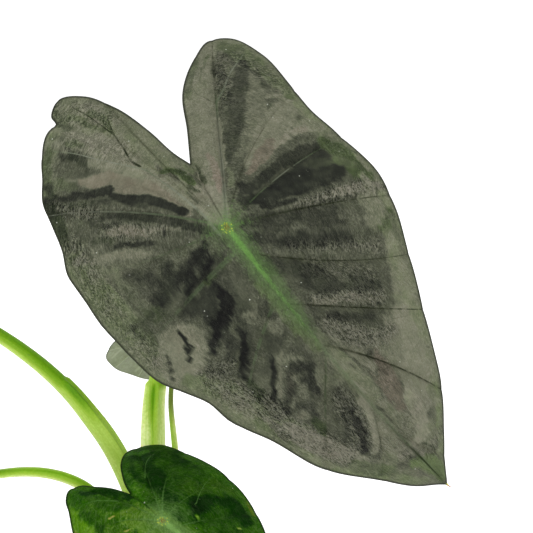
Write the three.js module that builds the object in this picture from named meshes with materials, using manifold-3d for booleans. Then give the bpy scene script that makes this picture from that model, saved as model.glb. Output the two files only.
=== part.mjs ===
// Potted colocasia: five peltate leaves on arching stalks, rooted in a plain round pot.
// Millimetres, +Z up. The origin is the centre of the pot's underside, and -Y is the front.

import * as THREE from 'three';
import { mergeVertices } from 'three/addons/utils/BufferGeometryUtils.js';
import Module from 'manifold-3d';

// Driving dimensions

const POT_HEIGHT = 142;
const POT_BASE_RADIUS = 60;
const POT_TOP_RADIUS = 82;
const POT_WALL = 2.2;
const POT_FLOOR = 3.2;
const RIM_HEIGHT = 17;
const RIM_OVERHANG = 3.5;
const SOIL_TOP = 124;
const SOIL_RELIEF = 0.9;
const ROOT_DEPTH = 16;
const HOLE_GAP = 0.5;
const FIT_GAP = 0.3;
const STALK_GAP = 0.35;

// Outlines of the blades, flat, as [along, across] from the point where the stalk joins.
// Along points to the tip. Each list runs from the notch between the lobes to the tip.

const GROWN_RIGHT = [
  [-40, 10], [-55, 22], [-74, 36], [-88, 58], [-93, 73.5], [-86.5, 84.6], [-66, 91.4], [-39, 89],
  [-18, 86.5], [0, 89.5], [20, 91], [39.5, 90.8], [60, 85], [80, 74], [103, 61], [134, 46],
  [156, 36], [179, 20], [205, 6], [210, 4],
];
const GROWN_LEFT = [
  [-40, 10], [-48, 8], [-70, 7], [-95, 4], [-114, -3], [-125, -15], [-120, -24], [-113, -26],
  [-114, -30], [-106, -45], [-95, -54], [-85, -63], [-71, -69], [-56, -75], [-44, -82],
  [-27, -85], [-10, -88], [7, -88], [24, -88], [39, -86], [53, -79], [66, -73],
  [83, -71], [108, -60], [142, -48], [169, -29], [193, -12], [206, 1], [210, 4],
];
const YOUNG_RIGHT = [
  [-27, 0], [-33, 2], [-42, 7], [-50, 13], [-56, 21], [-58, 29], [-57, 37], [-52, 43],
  [-44, 48], [-31, 53], [-17, 55], [-4, 56], [10.5, 55.5], [23.5, 52], [41, 44], [60, 32],
  [80, 17], [100, 1], [104, 0],
];
const YOUNG_LEFT = [
  [-27, 0], [-38, -4], [-48, -9], [-57, -13], [-60, -18], [-56, -25], [-48, -30], [-36, -38],
  [-22, -46], [-5, -50], [15, -50], [35, -44], [58, -33], [80, -18], [100, -2], [104, 0],
];

// Main veins: the place on the outline where each ends, counted in its points, the place
// along the midrib where it starts, and its bow towards the lobes as a part of its length.

const GROWN = {
  length: 210,
  midribBend: -5.5,
  right: GROWN_RIGHT,
  left: GROWN_LEFT,
  rightVeins: [
    [4.15, 0, 0], [7.25, 0, 0.07], [9.35, 0, 0.05], [11.6, 0, 0.02],
    [13.2, 18, -0.04], [14.35, 54, 0], [16.1, 83, 0.04], [17.5, 158, 0],
  ],
  leftVeins: [
    [3.35, 0, -0.02], [5, 0, 0], [9, 0, 0.02], [11.5, 0, 0.03], [14.3, 0, -0.04],
    [17.8, 13, 0.02], [22.35, 46, 0.06], [24.1, 89, 0.03], [25.3, 133, 0],
  ],
};
const YOUNG = {
  length: 104,
  midribBend: 1.5,
  right: YOUNG_RIGHT,
  left: YOUNG_LEFT,
  rightVeins: [
    [5.3, 0, 0], [8.6, 0, 0.07], [11.2, 0, 0.05], [13.3, 7, 0], [14.8, 27, 0], [16, 54, 0],
  ],
  leftVeins: [
    [3.6, 0, 0], [7.2, 0, 0.05], [9.5, 0, 0.03], [11, 10, 0], [12.4, 31, 0], [13.4, 58, 0],
  ],
};

// The leaves. A blade's turn is the heading, elevation and roll of its upper face in degrees;
// heading 0 faces the front. Arches are in degrees per millimetre, and the side arch a radius.
// A stalk's route runs from its place in the soil to near the blade, and facing is its grooved
// side. Its sheath, two wings beside the groove, ends at that part of its length.

const LEAVES = {
  main: {
    shape: GROWN,
    scale: 1,
    mirror: false,
    at: [42.3, -62, 362.6],
    turn: [8, 20, 41],
    archTip: 36 / 190,
    archBack: 28 / 110,
    archSide: 210,
    thickness: 0.9,
    keel: 2.2,
    pillow: 0.085,
    wave: 0.8,
    route: [
      [-1, -9], [-1.6, -6, 180], [-1.2, -4, 221.6], [-0.4, -4, 251], [3.7, -4, 278],
      [9.5, -6, 305], [18, -13, 330], [30, -29, 349],
    ],
    stalkBase: 7.8,
    stalkTop: 3.3,
    sheathEnd: 0.53,
    facing: [-0.6, -0.8, 0.1],
  },
  front: {
    shape: YOUNG,
    scale: 1,
    mirror: false,
    at: [6, -75, 198],
    turn: [5, 52, 41],
    archTip: 38 / 110,
    archBack: 25 / 60,
    archSide: 110,
    thickness: 0.8,
    keel: 1.3,
    pillow: 0.08,
    wave: 0.5,
    route: [[4, -23], [4.5, -33, 155], [5, -50, 174]],
    stalkBase: 4.4,
    stalkTop: 2.2,
    sheathEnd: 0.45,
    facing: [0, 0.7, 0.7],
  },
  back: {
    shape: YOUNG,
    scale: 0.6,
    mirror: false,
    at: [4.5, 48, 274],
    turn: [200, 35, -63],
    archTip: 30 / 90,
    archBack: 20 / 50,
    archSide: 100,
    thickness: 0.8,
    keel: 1,
    pillow: 0.07,
    wave: 0.4,
    route: [[14, 3], [12, 11, 170], [9.3, 20, 212.8], [6.9, 26, 235]],
    stalkBase: 3.6,
    stalkTop: 1.1,
    sheathEnd: 0.35,
    facing: [0, 1, 0.2],
  },
  far: {
    shape: GROWN,
    scale: 0.95,
    mirror: true,
    at: [-190, 12, 338],
    turn: [-80, 30, 0],
    archTip: 38 / 190,
    archBack: 28 / 110,
    archSide: 190,
    thickness: 0.9,
    keel: 2.2,
    pillow: 0.08,
    wave: 0.8,
    route: [
      [-2, 9], [-8, 7, 165], [-17.3, 5, 195], [-29.6, 3, 221], [-39.1, 1, 235.7], [-49.6, 0, 250],
      [-63.7, -1, 265], [-80, -1, 278.5], [-100, 1, 291.5], [-130, 5, 308], [-158, 8.5, 321.5],
    ],
    stalkBase: 7.2,
    stalkTop: 3,
    sheathEnd: 0.52,
    facing: [1, 0, 0.3],
  },
  old: {
    shape: YOUNG,
    scale: 0.92,
    mirror: true,
    at: [-134, -30, 200],
    turn: [-75, 18, 5],
    archTip: 38 / 110,
    archBack: 25 / 60,
    archSide: 110,
    thickness: 0.8,
    keel: 1.3,
    pillow: 0.08,
    wave: 0.5,
    route: [
      [-16, -4], [-25, -13, 172], [-41, -22, 200.6], [-52, -25, 207.3], [-64, -27, 211],
      [-76, -29, 212.3], [-90, -30, 211.4], [-108, -30, 207.6],
    ],
    stalkBase: 4.8,
    stalkTop: 2.2,
    sheathEnd: 0.4,
    facing: [0.6, 0, 0.8],
  },
};

const STALK_RINGS = 26;
const STALK_ANGLES = [0, 0.4, 0.8, 1.25, 1.8, 2.4, Math.PI, -2.4, -1.8, -1.25, -0.8, -0.4];
const COLUMNS = [0, 0.05, 0.13, 0.25, 0.4, 0.56, 0.72, 0.87, 1];
const ROW_STEP = 13;

// Materials

const material = (color, roughness) => new THREE.MeshStandardMaterial({ color, roughness, metalness: 0 });
const DARK_BLADE = material(0x333a31, 0.42);
const GREEN_BLADE = material(0x24591d, 0.45);
const PALE_BLADE = material(0x8f9f80, 0.6);
const STALK = material(0x86b840, 0.45);
const POT = material(0x2c2c2e, 0.55);
const SOIL = material(0x35261b, 0.95);

// Small helpers

const vector = (p) => new THREE.Vector3(p[0], p[1], p[2] ?? 0);
const bump = (x, width) => Math.exp(-((x / width) ** 2));
const clamp = (x) => Math.min(1, Math.max(0, x));
const smooth = (from, to, x) => {
  const f = clamp((x - from) / (to - from));
  return f * f * (3 - 2 * f);
};

// A seeded random number from 0 to 1
let seed = 7;
function random() {
  seed = (seed * 16807) % 2147483647;
  return seed / 2147483647;
}

// The point at place s of a smooth curve through the points; s counts the points from 0.
function spline(points, s) {
  const i = Math.min(Math.floor(s), points.length - 2);
  const f = s - i;
  const chord = (k) => points[k].distanceTo(points[k + 1]);
  const leg = (k) => points[k + 1].clone().sub(points[k]).divideScalar(chord(k));
  const slope = (k) => {
    if (k === 0) return leg(0);
    if (k === points.length - 1) return leg(k - 1);
    const before = chord(k - 1);
    const after = chord(k);
    return leg(k - 1).multiplyScalar(after).addScaledVector(leg(k), before).divideScalar(before + after);
  };
  const h = chord(i);
  return points[i].clone().multiplyScalar(2 * f ** 3 - 3 * f ** 2 + 1)
    .addScaledVector(slope(i), h * (f ** 3 - 2 * f ** 2 + f))
    .addScaledVector(points[i + 1], 3 * f ** 2 - 2 * f ** 3)
    .addScaledVector(slope(i + 1), h * (f ** 3 - f ** 2));
}

// Collects triangles, joins equal corners and drops triangles that have shrunk to a line.
class Skin {
  constructor() {
    this.places = new Map();
    this.points = [];
    this.triangles = [];
  }

  corner(p) {
    const key = p.toArray().map((x) => Math.round(x * 1e4)).join();
    if (!this.places.has(key)) {
      this.places.set(key, this.points.length / 3);
      this.points.push(p.x, p.y, p.z);
    }
    return this.places.get(key);
  }

  triangle(p, q, r) {
    const t = [this.corner(p), this.corner(q), this.corner(r)];
    if (t[0] !== t[1] && t[1] !== t[2] && t[2] !== t[0]) this.triangles.push(...t);
  }

  quad(p, q, r, s) {
    this.triangle(p, q, r);
    this.triangle(p, r, s);
  }

  geometry() {
    const g = new THREE.BufferGeometry();
    g.setAttribute('position', new THREE.Float32BufferAttribute(this.points, 3));
    g.setIndex(this.triangles);
    g.computeVertexNormals();
    return g;
  }
}

// Blade

// The shape with its size and hand applied; a mirrored leaf swaps its two sides.
function sized({ shape, scale, mirror }) {
  const outline = (points) => points.map(([a, b]) => vector([a * scale, (mirror ? -b : b) * scale]));
  const veins = (list, last) => [
    { s: 0, m: 0, bow: 0 },
    ...list.map(([s, m, bow]) => ({ s, m: m * scale, bow })),
    { s: last, m: shape.length * scale, bow: 0 },
  ];
  const sides = [
    { margin: outline(shape.right), veins: veins(shape.rightVeins, shape.right.length - 1) },
    { margin: outline(shape.left), veins: veins(shape.leftVeins, shape.left.length - 1) },
  ];
  if (mirror) sides.reverse();
  return {
    right: { ...sides[0], hand: 1 },
    left: { ...sides[1], hand: -1 },
    length: shape.length * scale,
    bend: shape.midribBend * scale * (mirror ? -1 : 1),
    tipOff: sides[0].margin.at(-1).y,
  };
}

// How far the midrib lies off the straight line at m along it
function midribAt(flat, m) {
  const way = m / flat.length;
  return flat.bend * Math.sin(Math.PI * way) + flat.tipOff * way ** 3;
}

// Places along the midrib where rows start, the same on both sides
function ribStations(flat) {
  const starts = [...flat.right.veins, ...flat.left.veins].map((v) => v.m).filter((m) => m > 0);
  const knots = [...new Set(starts)].sort((p, q) => p - q);
  const stations = [];
  let from = 0;
  for (const to of knots) {
    const steps = Math.max(1, Math.round((to - from) / ROW_STEP));
    for (let i = 1; i <= steps; i++) stations.push(from + ((to - from) * i) / steps);
    from = to;
  }
  return stations;
}

// Rows from the midrib to the outline: a fan round the stalk, then ribs to the tip.
// Each row knows its panel between two veins and how far across the panel it lies.
function bladeRows(flat, side) {
  const { margin, veins } = side;
  const fan = veins.filter((v) => v.m === 0);
  const lastFan = fan[fan.length - 1];
  const rows = [];
  const place = (s, m) => {
    const k = Math.max(0, veins.findIndex((v) => (m > 0 ? v.m >= m : v.s > s)) - 1);
    const [p, q] = [veins[k], veins[k + 1]];
    const phase = q.m > 0 ? (m - p.m) / (q.m - p.m) : (s - p.s) / (q.s - p.s);
    rows.push({
      s: m > 0 ? p.s + (q.s - p.s) * phase : s,
      m,
      phase,
      way: (m > 0 ? p.s + (q.s - p.s) * phase : s) / (margin.length - 1),
      bow: p.bow + (q.bow - p.bow) * phase,
      inner: q.m - p.m,
      outer: spline(margin, p.s).distanceTo(spline(margin, q.s)),
    });
  };
  const places = new Set(fan.map((v) => v.s));
  for (let i = 1; i < lastFan.s; i++) {
    if (fan.every((v) => Math.abs(v.s - i) > 0.3)) places.add(i);
  }
  [...places].sort((p, q) => p - q).forEach((s) => place(s, 0));
  ribStations(flat).forEach((m) => place(0, m));
  return rows;
}

// A point of a row, flat, t from 0 at the midrib to 1 at the outline
function flatPoint(flat, side, row, t) {
  const start = vector([row.m, midribAt(flat, row.m)]);
  const end = spline(side.margin, row.s);
  const along = end.clone().sub(start);
  const middle = start.clone().add(end).multiplyScalar(0.5);
  const control = middle.add(vector([-along.y, along.x]).multiplyScalar(2 * row.bow * side.hand));
  return start.multiplyScalar((1 - t) ** 2)
    .addScaledVector(control, 2 * t * (1 - t))
    .addScaledVector(end, t * t);
}

// The rise of the skin between its veins, and the wave of its edge
function rise(leaf, row, t, length) {
  const width = Math.min((1 - t) * row.inner + t * row.outer, 0.8 * length);
  const arch = (4 * row.phase * (1 - row.phase)) ** 0.7;
  const shoulder = Math.min(1, t / 0.18) * (1 - 0.7 * t ** 4);
  const ripple = Math.sin(1.9 * row.s) * Math.sin(Math.PI * row.way);
  return leaf.pillow * width * arch * shoulder + leaf.wave * ripple * t ** 4;
}

// Axes of a blade: to its tip, to its right side and out of its upper face
function bladeAxes([heading, elevation, roll]) {
  const [h, e, r] = [heading, elevation, roll].map(THREE.MathUtils.degToRad);
  const up = new THREE.Vector3(Math.sin(h) * Math.cos(e), -Math.cos(h) * Math.cos(e), Math.sin(e));
  const down = new THREE.Vector3(Math.sin(h) * Math.sin(e), -Math.cos(h) * Math.sin(e), -Math.cos(e));
  const tip = down.clone().applyAxisAngle(up, r);
  return { tip, right: up.clone().cross(tip), up };
}

// Bends a flat point over the blade's arches; height is measured along the skin's normal.
function bent(leaf, axes, a, b, height) {
  const turn = THREE.MathUtils.degToRad(a >= 0 ? leaf.archTip : leaf.archBack);
  const angle = turn * a;
  const along = Math.sin(angle) / turn;
  const drop = (1 - Math.cos(angle)) / turn;
  const lean = b / leaf.archSide;
  const up = axes.up.clone().multiplyScalar(Math.cos(angle)).addScaledVector(axes.tip, Math.sin(angle));
  return vector(leaf.at)
    .addScaledVector(axes.tip, along)
    .addScaledVector(axes.up, -drop)
    .addScaledVector(axes.right, leaf.archSide * Math.sin(lean) + height * Math.sin(lean))
    .addScaledVector(up, height * Math.cos(lean) - leaf.archSide * (1 - Math.cos(lean)));
}

// The ridge of the midrib under the blade, deepest where the stalk joins
function keelDepth(leaf, flat, p) {
  const off = p.x < 0 ? Math.hypot(p.x, p.y) : Math.abs(p.y - midribAt(flat, p.x));
  return leaf.keel * bump(off, 3) * (1 - (0.85 * Math.max(0, p.x)) / flat.length);
}

function bladeGeometry(leaf) {
  const flat = sized(leaf);
  const axes = bladeAxes(leaf.turn);
  const skin = new Skin();
  for (const side of [flat.right, flat.left]) {
    const grid = bladeRows(flat, side).map((row) => {
      const length = flatPoint(flat, side, row, 0).distanceTo(spline(side.margin, row.s));
      return COLUMNS.map((t) => {
        const p = flatPoint(flat, side, row, t);
        const height = rise(leaf, row, t, length);
        return {
          top: bent(leaf, axes, p.x, p.y, height),
          under: bent(leaf, axes, p.x, p.y, height - leaf.thickness - keelDepth(leaf, flat, p)),
        };
      });
    });
    const face = (p, q, r, s) => (side.hand > 0 ? skin.quad(p, s, r, q) : skin.quad(p, q, r, s));
    for (let i = 0; i + 1 < grid.length; i++) {
      const [row, next] = [grid[i], grid[i + 1]];
      for (let j = 0; j + 1 < COLUMNS.length; j++) {
        face(row[j].top, row[j + 1].top, next[j + 1].top, next[j].top);
        face(row[j].under, next[j].under, next[j + 1].under, row[j + 1].under);
      }
      const edge = COLUMNS.length - 1;
      face(row[edge].top, row[edge].under, next[edge].under, next[edge].top);
    }
  }
  return skin.geometry();
}

// Stalk

// Radius of the stalk's section: round, with a groove between two wings along the sheath
function stalkRadius(leaf, u, length, angle) {
  const radius = leaf.stalkTop + (leaf.stalkBase - leaf.stalkTop) * (1 - u) ** 1.15;
  const risen = smooth(ROOT_DEPTH + 3, ROOT_DEPTH + 16, u * length);
  const end = leaf.sheathEnd;
  const sheath = risen * (1 - smooth(end - 0.03, end, u)) * (1 - 0.3 * smooth(end - 0.12, end, u));
  const wings = 0.4 * bump(Math.abs(angle) - 0.8, 0.35) - 0.42 * bump(angle, 0.4);
  const groove = -0.08 * bump(angle, 0.5) * risen;
  return radius * (1 + sheath * wings + (1 - sheath) * groove);
}

// The stalk rises out of the soil, runs along its route, then turns square to the blade.
function stalkPath(leaf) {
  const { up } = bladeAxes(leaf.turn);
  const [[x, y], ...route] = leaf.route;
  const foot = [-ROOT_DEPTH, -4, 6].map((z) => [x, y, SOIL_TOP + z]);
  const reach = leaf.thickness + leaf.keel + STALK_GAP;
  const end = vector(leaf.at).addScaledVector(up, -reach);
  const before = vector(leaf.at).addScaledVector(up, -reach - 4 * leaf.stalkTop);
  return [...foot.map(vector), ...route.map(vector), before, end];
}

function stalkGeometry(leaf) {
  const path = stalkPath(leaf);
  const samples = [];
  for (let i = 0; i <= 400; i++) samples.push(spline(path, ((path.length - 1) * i) / 400));
  const lengths = [0];
  for (let i = 1; i <= 400; i++) lengths.push(lengths[i - 1] + samples[i].distanceTo(samples[i - 1]));
  const at = (u) => {
    const target = u * lengths[400];
    const i = Math.min(399, Math.max(0, lengths.findIndex((l) => l >= target) - 1));
    const f = (target - lengths[i]) / (lengths[i + 1] - lengths[i]);
    return samples[i].clone().lerp(samples[i + 1], f);
  };
  const rings = [];
  for (let i = 0; i <= STALK_RINGS; i++) {
    const u = i / STALK_RINGS;
    const centre = at(u);
    const ahead = at(Math.min(1, u + 0.004)).sub(at(Math.max(0, u - 0.004))).normalize();
    const front = vector(leaf.facing);
    front.addScaledVector(ahead, -front.dot(ahead)).normalize();
    const aside = ahead.clone().cross(front);
    rings.push(STALK_ANGLES.map((angle) => {
      const r = stalkRadius(leaf, u, lengths[400], angle);
      return centre.clone()
        .addScaledVector(front, r * Math.cos(angle))
        .addScaledVector(aside, r * Math.sin(angle));
    }));
  }
  const skin = new Skin();
  const count = STALK_ANGLES.length;
  for (let i = 0; i < STALK_RINGS; i++) {
    for (let j = 0; j < count; j++) {
      const k = (j + 1) % count;
      skin.quad(rings[i][j], rings[i][k], rings[i + 1][k], rings[i + 1][j]);
    }
  }
  const [foot, head] = [at(0), at(1)];
  for (let j = 0; j < count; j++) {
    const k = (j + 1) % count;
    skin.triangle(foot, rings[0][k], rings[0][j]);
    skin.triangle(head, rings[STALK_RINGS][j], rings[STALK_RINGS][k]);
  }
  return skin.geometry();
}

// Pot and soil

const potRadius = (z) => POT_BASE_RADIUS + ((POT_TOP_RADIUS - POT_BASE_RADIUS) * z) / POT_HEIGHT;

function potGeometry() {
  const rimFoot = POT_HEIGHT - RIM_HEIGHT;
  const rim = POT_TOP_RADIUS + RIM_OVERHANG;
  const outline = [
    [0, 0], [POT_BASE_RADIUS - 1.5, 0], [potRadius(1.5), 1.5], [potRadius(rimFoot), rimFoot],
    [rim - 1, rimFoot + 1], [rim, POT_HEIGHT - 1.2], [rim - 1.2, POT_HEIGHT],
    [rim - POT_WALL, POT_HEIGHT - 0.6], [potRadius(rimFoot) - POT_WALL, rimFoot - 2],
    [potRadius(POT_FLOOR) - POT_WALL, POT_FLOOR], [0, POT_FLOOR],
  ];
  const lathe = new THREE.LatheGeometry(outline.map(([r, z]) => new THREE.Vector2(r, z)), 48);
  return lathe.rotateX(Math.PI / 2);
}

const soilRadius = (z) => potRadius(z) - POT_WALL - 2 * FIT_GAP;

// A low heap with a slightly uneven top
function soilGeometry() {
  const count = 36;
  const floor = POT_FLOOR + FIT_GAP;
  const rings = [0.2, 0.4, 0.6, 0.8, 1].map((f) => {
    const radius = f * soilRadius(SOIL_TOP);
    return Array.from({ length: count }, (_, j) => {
      const angle = (2 * Math.PI * j) / count;
      const lift = f < 1 ? SOIL_RELIEF * (2 * random() - 1) + 1.5 * (1 - f * f) : 0;
      return vector([radius * Math.cos(angle), radius * Math.sin(angle), SOIL_TOP + lift - 1]);
    });
  });
  const foot = rings[4].map((p) => {
    const shrink = soilRadius(floor) / soilRadius(SOIL_TOP);
    return vector([p.x * shrink, p.y * shrink, floor]);
  });
  const skin = new Skin();
  const crown = vector([0, 0, SOIL_TOP + 0.5]);
  const base = vector([0, 0, floor]);
  for (let j = 0; j < count; j++) {
    const k = (j + 1) % count;
    skin.triangle(crown, rings[0][j], rings[0][k]);
    for (let i = 0; i < 4; i++) skin.quad(rings[i][j], rings[i + 1][j], rings[i + 1][k], rings[i][k]);
    skin.quad(rings[4][j], foot[j], foot[k], rings[4][k]);
    skin.triangle(base, foot[k], foot[j]);
  }
  return skin.geometry();
}

const wasm = await Module();
wasm.setup();

function toSolid(geometry) {
  const bare = geometry.clone();
  bare.deleteAttribute('normal');
  bare.deleteAttribute('uv');
  const merged = mergeVertices(bare, 1e-4);
  return new wasm.Manifold(new wasm.Mesh({
    numProp: 3,
    vertProperties: new Float32Array(merged.attributes.position.array),
    triVerts: new Uint32Array(merged.index.array),
  }));
}

function fromSolid(solid) {
  const mesh = solid.getMesh();
  const geometry = new THREE.BufferGeometry();
  geometry.setAttribute('position', new THREE.BufferAttribute(mesh.vertProperties, 3));
  geometry.setIndex(new THREE.BufferAttribute(mesh.triVerts, 1));
  geometry.computeVertexNormals();
  return geometry;
}

// One plain hole in the soil for each stalk
function soilWithHoles() {
  let soil = toSolid(soilGeometry());
  for (const leaf of Object.values(LEAVES)) {
    const [x, y] = leaf.route[0];
    const depth = ROOT_DEPTH + 12;
    const radius = leaf.stalkBase + HOLE_GAP;
    const hole = new THREE.CylinderGeometry(radius, radius, depth, 20);
    hole.rotateX(Math.PI / 2);
    hole.translate(x, y, SOIL_TOP - ROOT_DEPTH - FIT_GAP + depth / 2);
    soil = soil.subtract(toSolid(hole));
  }
  return fromSolid(soil);
}

// Assembly

const plant = new THREE.Group();
plant.name = 'potted_colocasia';

function add(name, geometry, look) {
  const mesh = new THREE.Mesh(geometry, look);
  mesh.name = name;
  plant.add(mesh);
}

add('pot', potGeometry(), POT);
add('soil', soilWithHoles(), SOIL);
for (const [name, leaf] of Object.entries(LEAVES)) {
  const look = { front: GREEN_BLADE, old: GREEN_BLADE, back: PALE_BLADE }[name] ?? DARK_BLADE;
  add(`stalk_${name}`, stalkGeometry(leaf), STALK);
  add(`blade_${name}`, bladeGeometry(leaf), look);
}

export default plant;
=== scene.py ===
"""Look of the potted colocasia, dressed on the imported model's fixed frame."""

import math
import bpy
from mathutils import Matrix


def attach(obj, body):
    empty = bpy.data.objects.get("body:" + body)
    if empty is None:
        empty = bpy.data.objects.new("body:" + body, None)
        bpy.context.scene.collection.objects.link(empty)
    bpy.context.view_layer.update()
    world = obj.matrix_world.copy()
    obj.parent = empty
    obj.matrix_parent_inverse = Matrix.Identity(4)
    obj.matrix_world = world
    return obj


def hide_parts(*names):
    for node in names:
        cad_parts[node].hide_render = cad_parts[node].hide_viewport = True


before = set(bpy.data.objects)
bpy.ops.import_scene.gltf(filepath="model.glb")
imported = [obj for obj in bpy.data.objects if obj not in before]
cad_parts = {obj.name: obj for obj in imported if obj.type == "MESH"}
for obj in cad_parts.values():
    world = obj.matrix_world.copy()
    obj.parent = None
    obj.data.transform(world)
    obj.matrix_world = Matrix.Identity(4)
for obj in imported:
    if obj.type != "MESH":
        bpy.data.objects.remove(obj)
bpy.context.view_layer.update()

from types import SimpleNamespace

import bmesh
import bpy
import numpy as np
from mathutils import Matrix, Vector

# Camera, at the photograph's viewing angle

TARGET = (0.064, -0.060, 0.340)
DISTANCE = 1.300
ELEVATION = 12
LENS = 158.78
SENSOR_WIDTH = 36

# Soft lights in metres and watts: name, place, size and power. All point at one spot.

SOFTBOXES = [
    ("key", (-1.5, -1.3, 1.7), 1.3, 23),
    ("fill", (1.7, -1.5, 1.0), 1.4, 14),
    ("top", (0, 0, 2.7), 2.4, 22),
    ("back", (-0.6, 1.9, 1.2), 1.4, 10),
]
LIT_SPOT = (0, -0.03, 0.3)
SKY_STRENGTH = 0.62
FLOOR_REACH = 12

# Pot and soil in millimetres, as in the part

POT_HEIGHT = 142
POT_BASE_RADIUS = 60
POT_TOP_RADIUS = 82
POT_WALL = 2.2
RIM_HEIGHT = 17
RIM_OVERHANG = 3.5
SOIL_TOP = 124
ROOT_DEPTH = 16
SOIL_GAP = 0.6

# Finer forms of the pot and the soil, and how many points they have round them and across

POT_RECESS = 0.8
POT_FLOOR = 3.2
POT_SIDES = 120
SOIL_WALL = 14
SOIL_RINGS = 96
SOIL_SIDES = 200

# Grains on the soil: material, number, least and greatest size in millimetres, and flatness

GRAINS = [
    (2, 90, 0.7, 1.9, 1.0),
    (1, 150, 1.2, 3.4, 0.45),
    (3, 420, 0.5, 1.5, 0.8),
]
GRAIN_SEED = 21

# Outlines of the blades, flat, as [along, across] in millimetres from where the stalk joins.
# Each runs from the notch between the lobes to the tip.

GROWN_RIGHT = [
    (-40, 10), (-55, 22), (-74, 36), (-88, 58), (-93, 73.5), (-86.5, 84.6), (-66, 91.4), (-39, 89),
    (-18, 86.5), (0, 89.5), (20, 91), (39.5, 90.8), (60, 85), (80, 74), (103, 61), (134, 46),
    (156, 36), (179, 20), (205, 6), (210, 4),
]
GROWN_LEFT = [
    (-40, 10), (-48, 8), (-70, 7), (-95, 4), (-114, -3), (-125, -15), (-120, -24), (-113, -26),
    (-114, -30), (-106, -45), (-95, -54), (-85, -63), (-71, -69), (-56, -75), (-44, -82),
    (-27, -85), (-10, -88), (7, -88), (24, -88), (39, -86), (53, -79), (66, -73),
    (83, -71), (108, -60), (142, -48), (169, -29), (193, -12), (206, 1), (210, 4),
]
YOUNG_RIGHT = [
    (-27, 0), (-33, 2), (-42, 7), (-50, 13), (-56, 21), (-58, 29), (-57, 37), (-52, 43),
    (-44, 48), (-31, 53), (-17, 55), (-4, 56), (10.5, 55.5), (23.5, 52), (41, 44), (60, 32),
    (80, 17), (100, 1), (104, 0),
]
YOUNG_LEFT = [
    (-27, 0), (-38, -4), (-48, -9), (-57, -13), (-60, -18), (-56, -25), (-48, -30), (-36, -38),
    (-22, -46), (-5, -50), (15, -50), (35, -44), (58, -33), (80, -18), (100, -2), (104, 0),
]

# Main veins: place on the outline, start along the midrib, bow, half widths of the line in
# millimetres at its start and end, and its tones at the start, middle and end. A tone of 1 is
# pale, 0.3 a grey-green rib, 0 nothing and -1 dark.

GROWN_RIGHT_VEINS = [
    (4.15, 0, 0, (1.3, 0.25), (0.9, 0.9, -1)),
    (7.25, 0, 0.07, (0.5, 0.25), (0.1, -0.35, -0.2)),
    (9.35, 0, 0.05, (0.45, 0.3), (-0.2, 0.9, 0.1)),
    (11.6, 0, 0.02, (0.6, 0.35), (0.1, -1, -0.5)),
    (13.2, 18, -0.04, (0.5, 0.3), (-0.4, -1, -0.6)),
    (14.35, 54, 0, (0.55, 0.35), (-0.4, -1, -0.9)),
    (16.1, 83, 0.04, (0.6, 0.4), (-0.2, -1, -1)),
    (17.5, 158, 0, (0.35, 0.2), (0, 0, -0.4)),
]
GROWN_LEFT_VEINS = [
    (3.35, 0, -0.02, (0.3, 0.1), (0, 0, 0)),
    (5, 0, 0, (0.3, 0.1), (0, 0, 0)),
    (9, 0, 0.02, (0.3, 0.1), (0, 0, 0)),
    (11.5, 0, 0.03, (0.7, 0.35), (0.3, 0.7, 1)),
    (14.3, 0, -0.04, (0.9, 0.3), (0.4, 0.2, 0)),
    (17.8, 13, 0.02, (1.7, 0.5), (0.5, 0.3, 0)),
    (22.35, 46, 0.06, (1.2, 0.4), (0.4, 0.35, 0)),
    (24.1, 89, 0.03, (0.8, 0.4), (0.3, 0.3, 0)),
    (25.3, 133, 0, (0.4, 0.2), (0, 0.1, 0)),
]
YOUNG_RIGHT_VEINS = [
    (5.3, 0, 0, (0.6, 0.2), (0.5, 0.22, 0)),
    (8.6, 0, 0.07, (0.6, 0.2), (0.6, 0.25, 0)),
    (11.2, 0, 0.05, (0.5, 0.2), (0.5, 0.22, 0)),
    (13.3, 7, 0, (0.5, 0.2), (0.5, 0.22, 0)),
    (14.8, 27, 0, (0.45, 0.2), (0.5, 0.22, 0)),
    (16, 54, 0, (0.4, 0.2), (0.45, 0.2, 0)),
]
YOUNG_LEFT_VEINS = [
    (3.6, 0, 0, (0.6, 0.2), (0.45, 0.2, 0)),
    (7.2, 0, 0.05, (0.6, 0.2), (0.6, 0.25, 0)),
    (9.5, 0, 0.03, (0.5, 0.2), (0.5, 0.22, 0)),
    (11, 10, 0, (0.5, 0.2), (0.5, 0.22, 0)),
    (12.4, 31, 0, (0.45, 0.2), (0.5, 0.22, 0)),
    (13.4, 58, 0, (0.4, 0.2), (0.45, 0.2, 0)),
]

# Branches of the veins: half widths, tones and points

GROWN_FORKS = [
    ((0.6, 0.35), (0.6, 0.9, 0.7), [(-57, 46), (-60, 54), (-66, 65), (-72, 81)]),
    ((0.35, 0.2), (-0.6, -0.5, -0.3), [(-57, 46), (-62, 43), (-67, 41), (-75, 43)]),
    ((0.9, 0.4), (0.8, 0.9, 0.6), [(0, -6), (-13, -5), (-26, -6), (-41, -8), (-54, -10)]),
    ((0.75, 0.3), (-1, -1, -0.6), [(-58, -11), (-64, -12), (-72, -10), (-82, -8), (-92, -4)]),
    ((0.45, 0.25), (0.7, 1, 0.6), [(-54, -10), (-66, -17), (-80, -25), (-96, -33), (-102, -37)]),
    ((0.4, 0.25), (-0.7, -0.9, -0.6), [(-81, -8), (-93, -9), (-104, -10), (-114, -12)]),
    ((0.3, 0.2), (0, 0.2, 0.1), [(-29, 58), (-36, 70), (-48, 84)]),
    ((0.35, 0.2), (0, -0.4, -0.3), [(75, 15), (92, 24), (108, 44)]),
    ((0.35, 0.2), (0, -0.4, -0.3), [(56, -27), (54, -48), (60, -70)]),
]
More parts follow.
